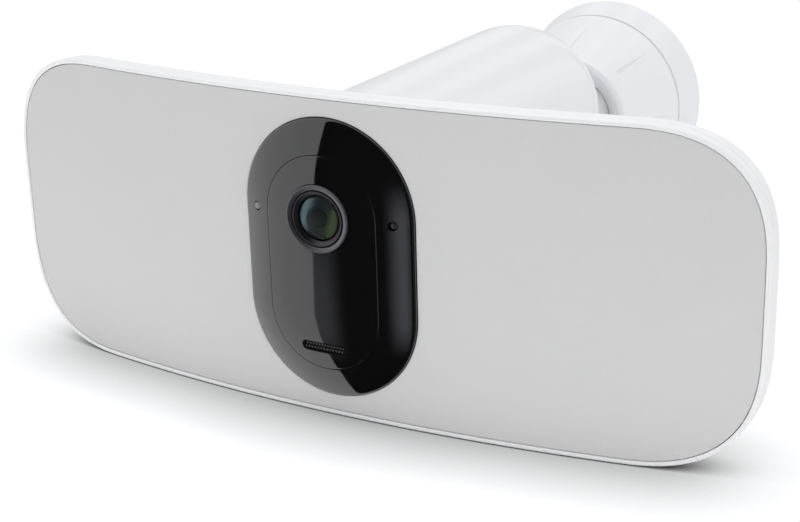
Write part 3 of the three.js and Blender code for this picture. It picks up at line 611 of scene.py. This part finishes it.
boolean(cov, cuts)
dress(cov, M_FRAME, 28)
place(cov, "head", "rear_cover")

# ------------------------------------------------------------------ camera face
def dome(r, off=0.0):
    return lambda x, _r: sheet(x) - PROUD - DH * (1 - min(r / OR, 1.0) ** DN) + off


def dome_at(r, off=0.0):
    def f(x, _r):
        return sheet(x) - PROUD - DH * (1 - min(r / OR, 1.0) ** DN) + off
    return f


S0 = SEAM + 0.12
fas = [(S0, dome_at(S0, 0.9)), (S0, dome_at(S0, 0.05)), (S0 + 0.015, dome_at(S0, 0.015)), (S0 + 0.05, dome_at(S0 + 0.05, 0.0))]
for r in np.linspace(S0 + 0.5, 40.3, 26):
    fas.append((float(r), dome_at(float(r))))
fas += [(40.75, lambda x, r: sheet(x) - PROUD - 0.26), (41.05, lambda x, r: sheet(x) - PROUD - 0.06), (41.24, lambda x, r: sheet(x) - PROUD + 0.18), (41.34, lambda x, r: sheet(x) - PROUD + 0.48), (OR, lambda x, r: sheet(x) - PROUD + 0.8)]
fas += [(OR, lambda x, r: sheet(x) + 7.3), (OR - 0.2, lambda x, r: sheet(x) + 7.5), (OR - 2.0, lambda x, r: sheet(x) + 7.5), (OR - 2.0, lambda x, r: sheet(x) + 1.8)]
for r in (36.0, 33.0, 30.0, S0):
    fas.append((r, dome_at(r, 2.2)))
SEG = 64
fascia = new_mesh("camera_fascia_shell", *loft([stad_loop(r, f, seg=SEG) for r, f in fas], closed=True), M_PIANO, body=None)
boolean(fascia, join([cyl_cut(2.05, -330, -300, s * 33.3, LZ, 48) for s in (-1, 1)]))
dress(fascia, M_PIANO, 30)
place(fascia, "head", "camera_fascia")

S1 = SEAM - 0.12


def fill_plate():
    """solid plate: front skin from the centre outward, then the back skin inward"""
    prof = [(0.6, dome_at(0.6))] + [(float(r), dome_at(float(r))) for r in np.linspace(2.0, S1 - 0.5, 20)]
    prof += [(S1 - 0.05, dome_at(S1 - 0.05)), (S1 - 0.015, dome_at(S1, 0.015)), (S1, dome_at(S1, 0.05)), (S1, dome_at(S1, 2.2))]
    prof += [(r, dome_at(r, 2.2)) for r in (20.0, 14.0, 8.0, 0.6)]
    return loft([stad_loop(r, f, seg=SEG) for r, f in prof], cap0="ngon", cap1="ngon")


plate = new_mesh("camera_face_plate", *fill_plate(), M_PIANO, body=None)


def slot_cut(w, h, y0, y1, x, z, grow0=0.0):
    def loop(y, g):
        r = h / 2 + g
        c = w / 2 - h / 2
        p = arc(c, 0, r, -90, 90, 16) + arc(-c, 0, r, 90, 270, 16)
        return [(x + a, y, z + b) for a, b in p]
    return cutter(*loft([loop(y0, grow0), loop(y0 + 1.0, grow0), loop(y1 - 0.01, 0), loop(y1, 0)], cap0="ngon", cap1="ngon"))


boolean(plate, [cyl_cut(15.2, -340, -300, 0, LZ, 128), cyl_cut(0.62, -340, -300, 0, 42.2, 32), slot_cut(22.2, 4.8, -340, -300, 0, -37.6)])
dress(plate, M_PIANO, 30)
place(plate, "head", "face_plate")

# speaker grille: dished slot insert with two rows of round holes
def slot_loop(w, h, y, x, z, m=14):
    r = h / 2
    c = w / 2 - r
    return [(x + a, y, z + b) for a, b in arc(c, 0, r, -90, 90, m) + arc(-c, 0, r, 90, 270, m)]


gr = new_mesh("speaker_slot_grille", *loft([slot_loop(21.8, 4.4, -316.4, 0, -37.6), slot_loop(21.8, 4.4, -318.2, 0, -37.6), slot_loop(21.5, 4.1, -318.4, 0, -37.6), slot_loop(21.1, 3.7, -318.4, 0, -37.6), slot_loop(20.9, 3.5, -317.7, 0, -37.6)],
              cap0="ngon", cap1="ngon"), M_GRILLE, body=None)
boolean(gr, join([cyl_cut(0.47, -322, -317.3, (i - 6) * 1.5 + (0.35 if dz > 0 else -0.35), -37.6 + dz, 16) for i in range(13) for dz in (-0.85, 0.85)]))
dress(gr, M_GRILLE, 30)
place(gr, "head", "speaker_grille")

# windows either side of the lens
flat = [(0, -314.0), (0.7, -313.99), (1.2, -313.93), (1.5, -313.8), (1.6, -313.6), (1.62, -313.35), (1.62, -309.8), (1.5, -309.6), (0, -309.6)]
bead = [(0, -314.0)] + [(1.72 * math.sin(t), -312.6 - 1.4 * math.cos(t)) for t in np.linspace(0.12, math.pi / 2, 12)] + [(1.75, -309.8), (1.6, -309.6), (0, -309.6)]
for nm, node, sx, mt, prof in (("light_sensor_window", "ambient_sensor", -1, M_WIN, flat), ("status_window", "status_led", 1, M_LED, bead)):
    new_mesh(nm, *lathe(prof, sx * 33.3, LZ, 48), mt, node=node)

# ------------------------------------------------------------------ lens
def L(name, prof, mat, node, closed=True, seg=128, angle=30):
    return new_mesh(name, *lathe(prof, 0, LZ, seg, closed), mat, node=node, angle=angle)


L("lens_trim_ring", [(12.6, -318.8), (12.66, -319.2), (12.85, -319.42), (13.2, -319.56), (14.2, -319.87), (14.5, -319.9), (14.74, -319.83), (14.86, -319.65), (14.9, -319.4), (14.9, -313.0), (12.6, -313.0)], M_RING, "lens_ring")
dome_glass = [(0, -319.88)] + [(9.6 * t, -319.88 + 2.23 * t ** 2.05) for t in np.linspace(0.06, 0.985, 22)] + [(9.55, -317.62), (9.6, -317.5), (9.6, -317.3), (9.5, -317.25), (8, -317.5), (5, -318.0), (2.5, -318.3), (0, -318.4)]
L("lens_dome", dome_glass, M_GLASS, "front_glass", closed=False, angle=40)
L("lens_hood_ring", [(12.2, -318.9), (12.17, -319.1), (12.05, -319.24), (11.85, -319.29), (11.6, -319.27), (11.42, -319.16), (10.2, -318.16), (10.02, -317.95), (9.98, -317.6), (9.98, -312.5), (12.2, -312.5)], M_GREYP, "lens_hood")
L("lens_barrel_tube", [(8.92, -316.6), (9.0, -316.75), (9.2, -316.78), (9.29, -316.65), (9.3, -312.0), (9.6, -311.6), (9.6, -297.6), (9.5, -297.5), (6.2, -297.5), (6.2, -309.5), (8.92, -311.2)], M_BLACK, "lens_barrel")
M_LENS_REFLECT1 = m_painted_lens_reflections("outer_painted_reflections", (0.05, 0.09, 0.11), (0.05, 0.085, 0.04), (0.008, 0.012, 0.013))
el1 = [(0, -317.85)] + [(8.55 * t, -317.85 + 2.2 * t ** 2.0) for t in np.linspace(0.06, 1.0, 18)] + [(8.55, -314.05), (8.4, -314.0), (5.0, -314.6), (0, -315.4)]
L("lens_front_element", el1, M_LENS_REFLECT1, "lens_element_1", closed=False)

# ------------------------------------------------------------------ rear housing
def house_profile(off, n):
    r, yc = HRND - off, HEND - HRND
    return [(HR1 - HRND + r * math.cos(t), yc + r * math.sin(t)) for t in np.linspace(0, math.pi / 2, n + 1)]


def house_solid(off, y0, n=28, seg=56):
    prof = [(HR0 - off, y0), (HR0 - 0.12 - off, -262.0), (HR0 - 0.35 - off, -215.0), (HR0 - 0.53 - off, -172.0)] + house_profile(off, n)
    loops = [stad_loop(r, y, seg=seg) for r, y in prof]
    return loft(loops, cap0="ngon", cap1="ngon")


def back_cut():
    loops = [panel_loop(0.5, d, 6, 60) for d in (-60.0, PD + 0.3)]
    return cutter(*loft(loops, cap0="strip", cap1="strip"))


hs = new_mesh("housing_shell", *house_solid(0.0, -300.0), M_HOUSE, body=None)
boolean(hs, cutter(*house_solid(2.4, -302.0, n=12, seg=32)))
boolean(hs, back_cut())
cuts = [cyl_cut(7.35, -100, -80, 0, 0, 64),
        cutter(*prism(round_rect(-24.35, 24.35, -232.35, -161.65, 6.3, 10), -80, -40)),
        cutter(*prism(round_rect(-9.35, 9.35, -156.35, -137.65, 3.3, 8), -80, -40)),
        cutter(*prism(arc(0, -248, 4.35, 0, 360 * 47 / 48, 47), -80, -50)),
        cutter(*prism(round_rect(-8.35, 8.35, -276.35, -263.65, 1.6, 8), -80, -50))]
boolean(hs, cuts)
for sx in (-1, 1):
    for sz in (-1, 1):
        pass
dress(hs, M_HOUSE, 30)
place(hs, "head", "rear_housing")

cap = new_mesh("battery_cap_shell", *prism(round_rect(-24.0, 24.0, -232.0, -162.0, 6.0, 12), -80, -56.85), M_HOUSE, body=None)
boolean(cap, cutter(*house_solid(0.0, -300.0)), "INTERSECT")
boolean(cap, cutter(*prism(round_rect(-9, 9, -165.2, -161.0, 0.8, 4), -80, -62.4)))
bevel(cap, 0.35, 3, 50)
dress(cap, M_HOUSE, 30)
place(cap, "battery", "battery_cap")

from_node("battery_pack", "battery_block", M_DARKP, "battery", 0.8, 3)
from_node("battery_latch", "battery_latch_slider", M_LIGHTP, "latch", 0.25, 2)
from_node("sync_button", "sync_button_cap", M_LIGHTP, "sync", 0.25, 2)
from_node("port_flap", "port_cover", M_RUBBERG, "flap", 0.2, 2)
from_node("charge_socket", "charge_socket_body", M_DARKP, "head", 0.15, 2)

# ------------------------------------------------------------------ ball stud
yn = PIV - math.sqrt(BR ** 2 - NR ** 2)
t0 = math.asin((yn - PIV) / BR)
st = [(3.2, -103.5), (6.2, -103.5), (7.0, -102.7), (7.0, HEND + 0.35), (NR + 2.0, HEND + 0.35), (NR + 2.2, HEND + 0.55), (NR + 2.2, HEND + 1.6), (NR + 2.0, HEND + 2.0)]
st += [(NR + 1.8 * (1 - math.sin(t)), HEND + 2.2 + 2.8 * (1 - math.cos(t))) for t in np.linspace(0.1, math.pi / 2, 8)]
st += [(NR, yn - 0.6), (NR + 0.15, yn - 0.1)]
st += [(BR * math.cos(t), PIV + BR * math.sin(t)) for t in np.linspace(t0 + 0.02, math.pi / 2 - 0.001, 40)][:-1] + [(0.0, PIV + BR)]
rc = 6.5
cav = []
a0 = math.pi - math.asin(3.2 / rc)
for i in range(13):
    t = math.pi / 2 - a0 * i / 12
    cav.append((max(rc * math.cos(t), 0.0) if i else 0.0, PIV + rc * math.sin(t)))
verts, faces = lathe(st + cav + [(3.2, -103.5)], seg=96)
new_mesh("ball_and_stud", verts, faces, M_STUD, node="ball_stud")

# ------------------------------------------------------------------ twist collar
def cone_r(y):
    return 49.9 + (y - (SEAMY - 0.9)) * (49.9 - 35.9) / ((SEAMY - 0.9) + 61.6)


col = [(46.2, -25.5), (46.2, -22.75), (46.35, -22.6), (49.2, -22.6), (49.6, -22.68), (49.82, -22.88), (49.9, -23.2)]
for y in np.linspace(-26.0, -60.0, 18):
    s = (y + 23.2) / (-61.6 + 23.2)
    col.append((49.9 - 14.0 * s - 0.0 * s, y))
col += [(35.9, -61.6), (35.62, -62.4), (35.2, -63.15), (34.6, -63.75), (33.9, -64.05), (33.2, -64.1), (32.5, -63.9), (31.8, -63.4), (31.2, -62.75), (28.8, -60.05), (26.4, -57.4), (24.0, -54.5), (22.0, -52.05), (21.0, -51.05), (20.6, -50.75),
        (20.5, -50.5), (20.7, -50.15), (21.4, -49.8), (25.4, -48.4), (29.0, -46.6), (31.6, -44.5), (31.6, -10.0), (33.8, -10.0), (33.8, -31.4), (42.0, -31.4)]
collar = new_mesh("twist_collar", *lathe(col, seg=224, closed=True), M_MOUNT, body=None)


def notch(a):
    """shallow thumb groove along the cone: blunt and deep at the front, fading out toward the wall"""
    loops = []
    N = 26
    ca, sa = math.cos(a), math.sin(a)
    for i in range(N + 1):
        s = i / N
        y = -55.9 + 25.6 * s
        rr = 49.9 - 14.0 * (y + 23.2) / (-61.6 + 23.2)
        if s < 0.10:
            k = math.sqrt(max(0.0, 1 - ((0.10 - s) / 0.10) ** 2))
        else:
            k = (1 - (s - 0.10) / 0.90) ** 0.75
        w = max(0.03, 2.05 * k)
        d = max(0.02, 1.5 * k ** 1.1)
        pts = []
        for j in range(9):
            u = math.pi * j / 8
            t, rad = w * math.cos(u), rr - d * math.sin(u) ** 1.6
            pts.append((t, rad))
        pts += [(-w * 1.3, rr + 2.0), (w * 1.3, rr + 2.0)]
        loops.append([(rad * ca - t * sa, y, rad * sa + t * ca) for t, rad in pts])
    return cutter(*loft(loops, cap0="ngon", cap1="ngon"))


boolean(collar, join([notch(2 * math.pi * k / 8) for k in range(8)]))
dress(collar, M_MOUNT, 26)
place(collar, "collar", "clamp_collar")

# ------------------------------------------------------------------ wall base
bs = [(0, 0), (53.4, 0), (53.75, -0.1), (53.95, -0.35), (54.0, -0.7), (53.8, -1.8), (53.4, -3.6), (53.0, -5.5), (52.5, -8.0), (51.9, -11.0), (51.35, -14.0), (50.9, -17.0), (50.5, -20.0), (50.3, -21.0), (50.15, -21.25), (49.8, -21.4), (46.7, -21.4), (46.4, -21.2), (46.4, -4.5), (31.0, -4.5), (31.0, -30.2), (30.7, -30.5), (28.5, -30.5), (28.2, -30.2), (28.2, -4.5), (0, -4.5)]
wb = new_mesh("wall_base", *lathe(bs, seg=192), M_MOUNT, body=None)
tools = [cyl_cut(2.6, -8, 1, 38.5 * math.cos(math.radians(a)), 38.5 * math.sin(math.radians(a)), 32) for a in (90, 210, 330)]
ringc = cutter(*lathe([(41.6, -1.3), (50.4, -1.3), (50.4, 1), (41.6, 1)], seg=128, closed=True))
boolean(wb, [join(tools), ringc])
dress(wb, M_MOUNT, 26)
place(wb, "wall_mount", "mount_base")

# ------------------------------------------------------------------ screws
def screw(name, node, x, z, body, s):
    """pan head with a cross recess"""
    if node.startswith("wall"):
        prof = [(0, -0.1), (1.9, -0.1), (1.9, -4.9), (4.0, -4.9), (4.2, -5.1), (4.2, -6.3), (3.9, -6.9), (3.2, -7.25), (1.5, -7.3), (0, -7.3)]
        top, dep = -7.3, 1.3
    else:
        yb = PY + PD - SW - 0.1
        prof = [(0, yb - 2.2), (1.6, yb - 2.2), (2.5, yb - 2.1), (2.95, yb - 1.8), (3.1, yb - 1.3), (3.1, yb - 0.15), (3.0, yb - 0.05), (1.5, yb - 0.05), (1.5, yb + 9), (0, yb + 10)]
        top, dep = yb - 2.2, 1.0
    ob = new_mesh(name, *lathe(prof, x, z, 40), M_STEEL, body=None)
    k = 2.3 if node.startswith("wall") else 1.6
    c1 = cutter(*prism([(x - k, top - 1), (x + k, top - 1), (x + k, top + dep), (x - k, top + dep)], z - 0.45, z + 0.45))
    c2 = cutter(*prism([(x - 0.45, top - 1), (x + 0.45, top - 1), (x + 0.45, top + dep), (x - 0.45, top + dep)], z - k, z + k))
    boolean(ob, [c1, c2])
    dress(ob, M_STEEL, 30)
    place(ob, body, node)


for i, a in enumerate((90, 210, 330)):
    screw(f"base_screw_{i + 1}", f"wall_screw_{i + 1}", 38.5 * math.cos(math.radians(a)), 38.5 * math.sin(math.radians(a)), "wall_mount", 1)
for i, (sx, sz) in enumerate(((-1, -1), (1, -1), (-1, 1), (1, 1))):
    screw(f"shell_screw_{i + 1}", f"housing_screw_{i + 1}", sx * 33.5, sz * 39.0, "head", 1)

# ------------------------------------------------------------------ finishes for the CAD solids that stay
KEEP = {
    "wall_gasket": M_RUBBER, "ball_socket": M_GREYM, "friction_liner": M_GREYM, "pivot_core": M_STEEL, "stud_nut": M_STEEL,
    "battery_tray": M_GREYM, "battery_contacts": M_GOLD, "diffuser_seal": M_RUBBER, "reflector_tray": M_TRAY,
    "led_board_left": M_LEDB, "led_board_right": M_LEDB, "heat_spreader_left": M_ALU, "heat_spreader_right": M_ALU,
    "speaker": M_DARKP, "microphone": M_STEEL, "motion_sensor": M_PIR,
    "lens_element_2": m_painted_lens_reflections("mid_painted_reflections", (0.03, 0.10, 0.09), (0.05, 0.09, 0.03), (0.004, 0.006, 0.006)),
    "lens_element_3": m_painted_lens_reflections("rear_painted_reflections", (0.03, 0.06, 0.10), (0.05, 0.05, 0.08), (0.004, 0.005, 0.007)),
    "image_sensor": M_SENS, "sensor_board": M_PCB, "main_board": M_PCB, "shield_can": M_STEEL, "antenna_left": M_COPPER, "antenna_right": M_COPPER,
}
for nm, mt in KEEP.items():
    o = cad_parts[nm]
    if not o.material_slots:
        o.data.materials.append(mt)
    for s in o.material_slots:
        s.material = mt

# ------------------------------------------------------------------ studio
def stage_plane(name, size, loc, rot=(0, 0, 0)):
    me = bpy.data.meshes.new(name)
    h = size[0] / 2, size[1] / 2
    me.from_pydata([(-h[0], -h[1], 0), (h[0], -h[1], 0), (h[0], h[1], 0), (-h[0], h[1], 0)], [], [(0, 1, 2, 3)])
    ob = bpy.data.objects.new(name, me)
    bpy.context.scene.collection.objects.link(ob)
    ob.location = loc
    ob.rotation_euler = rot
    return ob


FLOOR_Z = -0.0727
floor = stage_plane("floor", (14.0, 14.0), (0, 0, FLOOR_Z))
fm, nt, p = nodes_of("floor_white")
tc = add(nt, "ShaderNodeTexCoord")
nz = add(nt, "ShaderNodeTexNoise", Scale=3.0, Detail=2.0)
nt.links.new(tc.outputs["Object"], nz.inputs["Vector"])
cr = ramp(nt, nz.outputs["Fac"], [(0.3, (0.64, 0.64, 0.64)), (0.7, (0.65, 0.65, 0.65))])
nt.links.new(cr.outputs["Color"], p.inputs["Base Color"])
p.inputs["Roughness"].default_value = 0.9
p.inputs["Specular IOR Level"].default_value = 0.0


def fmath(kind, a, b=None):
    n = add(nt, "ShaderNodeMath", operation=kind)
    for i, v in enumerate((a, b)):
        if v is None:
            continue
        if isinstance(v, (int, float)):
            n.inputs[i].default_value = v
        else:
            nt.links.new(v, n.inputs[i])
    return n.outputs[0]


# to the eye the sweep is only a painted shadow, its tint darkened by occlusion where the lamp stands close above it,
# so it hides nothing in any pose
flp = add(nt, "ShaderNodeLightPath")
# one-sided sweep: clear from underneath, so the underside can be looked at
geo = nt.nodes.new("ShaderNodeNewGeometry")
clear = nt.nodes.new("ShaderNodeBsdfTransparent")
fmix = nt.nodes.new("ShaderNodeMixShader")
nt.links.new(fmath("MAXIMUM", geo.outputs["Backfacing"], flp.outputs["Is Camera Ray"]), fmix.inputs["Fac"])
# painted shadow: ambient occlusion within 6 cm sets the sweep's see-through tint
fao = nt.nodes.new("ShaderNodeAmbientOcclusion")
fao.samples = 16
fao.inputs["Distance"].default_value = 0.06
floor_painted_shadow = nt.nodes.new("ShaderNodeMapRange")
floor_painted_shadow.inputs["From Min"].default_value = 0.12
floor_painted_shadow.inputs["From Max"].default_value = 0.93
floor_painted_shadow.inputs["To Min"].default_value = 0.02
floor_painted_shadow.inputs["To Max"].default_value = 1.0
nt.links.new(fao.outputs["AO"], floor_painted_shadow.inputs["Value"])
nt.links.new(fmath("MAXIMUM", floor_painted_shadow.outputs["Result"], geo.outputs["Backfacing"]), clear.inputs["Color"])
nt.links.new(p.outputs["BSDF"], fmix.inputs[1])
nt.links.new(clear.outputs["BSDF"], fmix.inputs[2])
nt.links.new(fmix.outputs["Shader"], nt.nodes["Material Output"].inputs["Surface"])
floor.data.materials.append(fm)
floor.visible_glossy = False

world = bpy.data.worlds.new("studio")
bpy.context.scene.world = world
world.use_nodes = True
wt = world.node_tree
bg = wt.nodes["Background"]
wtc = wt.nodes.new("ShaderNodeTexCoord")
wsx = wt.nodes.new("ShaderNodeSeparateXYZ")
wt.links.new(wtc.outputs["Generated"], wsx.inputs["Vector"])


def wmath(op, a, b=None, clamp=False):
    n = wt.nodes.new("ShaderNodeMath")
    n.operation = op
    n.use_clamp = clamp
    for i, v in enumerate((a, b)):
        if v is None:
            continue
        if isinstance(v, (int, float)):
            n.inputs[i].default_value = v
        else:
            wt.links.new(v, n.inputs[i])
    return n.outputs[0]


def wband(src, lo, hi, soft):
    """1 between lo and hi, fading over soft at either side"""
    out = None
    for a, b in ((lo - soft, lo), (hi + soft, hi)):
        n = wt.nodes.new("ShaderNodeMapRange")
        n.interpolation_type = "SMOOTHSTEP"
        n.inputs["From Min"].default_value = a
        n.inputs["From Max"].default_value = b
        wt.links.new(src, n.inputs["Value"])
        out = n.outputs["Result"] if out is None else wmath("MULTIPLY", out, n.outputs["Result"])
    return out


X, Y, Z = wsx.outputs["X"], wsx.outputs["Y"], wsx.outputs["Z"]
# studio walls: brighter in front and to the left, a little darker behind and low down to the right
tone = wmath("ADD", 0.765, wmath("MULTIPLY", Y, -0.10))
tone = wmath("ADD", tone, wmath("MULTIPLY", X, -0.02))
back = wband(Y, 0.25, 1.2, 0.15)
high = wband(Z, 0.12, 1.2, 0.10)
boxes = None
for lo, hi, soft, k in ((-0.47, -0.36, 0.05, 0.18), (-0.14, -0.04, 0.06, 0.24), (0.22, 0.34, 0.06, 0.30)):
    t = wmath("MULTIPLY", wband(X, lo, hi, soft), k)
    boxes = t if boxes is None else wmath("ADD", boxes, t)
boxes = wmath("MULTIPLY", boxes, wmath("MULTIPLY", back, high))
tone = wmath("ADD", tone, boxes)
lp = wt.nodes.new("ShaderNodeLightPath")
mixw = wt.nodes.new("ShaderNodeMix")
mixw.data_type = "FLOAT"
wt.links.new(lp.outputs["Is Camera Ray"], mixw.inputs["Factor"])
wt.links.new(tone, mixw.inputs["A"])
mixw.inputs["B"].default_value = 1.05
bg.inputs["Color"].default_value = (0.995, 1.0, 1.01, 1)
wt.links.new(mixw.outputs["Result"], bg.inputs["Strength"])


def area(name, loc, target, size, power, color=(1, 1, 1)):
    d = bpy.data.lights.new(name, "AREA")
    d.shape = "RECTANGLE"
    d.size, d.size_y = size
    d.energy = power
    d.color = color
    ob = bpy.data.objects.new(name, d)
    bpy.context.scene.collection.objects.link(ob)
    ob.location = loc
    ob.rotation_euler = (Vector(target) - Vector(loc)).to_track_quat("-Z", "Y").to_euler()
    return ob


area("overhead", (0.05, 0.05, 1.30), (0.0, -0.25, 0.0), (1.5, 0.9), 4.5)

# soft box over the floor only, so the lamp throws a short soft shadow on the sweep
key = area("floor_key", (0.0, -0.235, 1.0), (0.0, -0.235, 0.0), (1.3, 0.22), 13.0)
link = bpy.data.collections.new("floor_only")
link.objects.link(floor)
key.light_linking.receiver_collection = link

# dark flag in front of the lamp, with a soft strip light on it: the black camera face mirrors its straight left edge
edge = [(-0.320, 0.386), (-0.304, 0.274), (-0.298, 0.156), (-0.301, 0.046), (-0.305, -0.036), (-0.322, -0.14), (-0.331, -0.207), (-0.336, -0.242), (-0.338, -0.276), (-0.347, -0.350), (-0.342, -0.504), (-0.353, -0.793), (-0.461, -1.402), (-0.6, -2.4)]
edge = [(-0.335, 1.8)] + edge
cme = bpy.data.meshes.new("dark_flag")
cv = []
for x, z in edge:
    cv += [(x, -0.8, z), (2.6, -0.8, z)]
cme.from_pydata(cv, [], [(2 * i, 2 * i + 1, 2 * i + 3, 2 * i + 2) for i in range(len(edge) - 1)])
card = bpy.data.objects.new("dark_flag", cme)
bpy.context.scene.collection.objects.link(card)
cm = bpy.data.materials.new("flag_black")
cm.use_nodes = True
cnt = cm.node_tree
cnt.nodes.clear()
out = cnt.nodes.new("ShaderNodeOutputMaterial")
em = cnt.nodes.new("ShaderNodeEmission")
ctc = cnt.nodes.new("ShaderNodeTexCoord")
csx = cnt.nodes.new("ShaderNodeSeparateXYZ")
cnt.links.new(ctc.outputs["Object"], csx.inputs["Vector"])


def glow(x0, x1, x2, x3, z0, z1, z2, z3, k):
    terms = []
    for src, a, b in (("X", x0, x1), ("X", x3, x2), ("Z", z0, z1), ("Z", z3, z2)):
        n = cnt.nodes.new("ShaderNodeMapRange")
        n.interpolation_type = "SMOOTHSTEP"
        n.inputs["From Min"].default_value = a
        n.inputs["From Max"].default_value = b
        cnt.links.new(csx.outputs[src], n.inputs["Value"])
        terms.append(n.outputs["Result"])
    cur = terms[0]
    for t in terms[1:]:
        m = cnt.nodes.new("ShaderNodeMath")
        m.operation = "MULTIPLY"
        cnt.links.new(cur, m.inputs[0])
        cnt.links.new(t, m.inputs[1])
        cur = m.outputs[0]
    m = cnt.nodes.new("ShaderNodeMath")
    m.operation = "MULTIPLY"
    m.inputs[1].default_value = k
    cnt.links.new(cur, m.inputs[0])
    return m.outputs[0]


g1 = glow(0.08, 0.215, 0.225, 0.30, -0.55, -0.20, -0.14, 0.10, 0.50)
g2 = glow(-0.60, -0.50, -0.31, -0.17, -0.60, -0.26, -0.24, -0.12, 0.27)
g3 = glow(0.36, 0.44, 0.60, 0.75, -0.9, -0.5, 0.6, 1.0, 0.10)
s1 = cnt.nodes.new("ShaderNodeMath")
cnt.links.new(g1, s1.inputs[0])
cnt.links.new(g2, s1.inputs[1])
s2 = cnt.nodes.new("ShaderNodeMath")
cnt.links.new(s1.outputs[0], s2.inputs[0])
cnt.links.new(g3, s2.inputs[1])
em.inputs["Color"].default_value = (0.95, 0.97, 1.12, 1)
cnt.links.new(s2.outputs[0], em.inputs["Strength"])
cnt.links.new(em.outputs["Emission"], out.inputs["Surface"])
cme.materials.append(cm)
card.visible_camera = False
card.visible_diffuse = False
card.visible_shadow = False
card.visible_transmission = False

# ------------------------------------------------------------------ camera
az, el, roll, dist = math.radians(29.748), math.radians(19.944), math.radians(-1.608), 690.66
T = Vector((34.293, PY, 4.811)) * MM
back = Vector((math.sin(az) * math.cos(el), -math.cos(az) * math.cos(el), math.sin(el)))
C = T + back * dist * MM
fwd = -back
right = fwd.cross(Vector((0, 0, 1))).normalized()
up = right.cross(fwd)
r2 = math.cos(roll) * right + math.sin(roll) * up
u2 = -math.sin(roll) * right + math.cos(roll) * up
cam = bpy.data.cameras.new("camera")
co = bpy.data.objects.new("camera", cam)
bpy.context.scene.collection.objects.link(co)
m4 = Matrix.Identity(4)
for i in range(3):
    m4[i][0], m4[i][1], m4[i][2], m4[i][3] = r2[i], u2[i], back[i], C[i]
co.matrix_world = m4
cam.sensor_width = 36.0
cam.lens = 1663.31 * 36.0 / 800.0
cam.clip_start = 0.02
cam.clip_end = 50.0
bpy.context.scene.camera = co
vs = bpy.context.scene.view_settings
vs.view_transform = "Standard"
vs.look = "None"
vs.exposure = 0.0
vs.gamma = 1.0
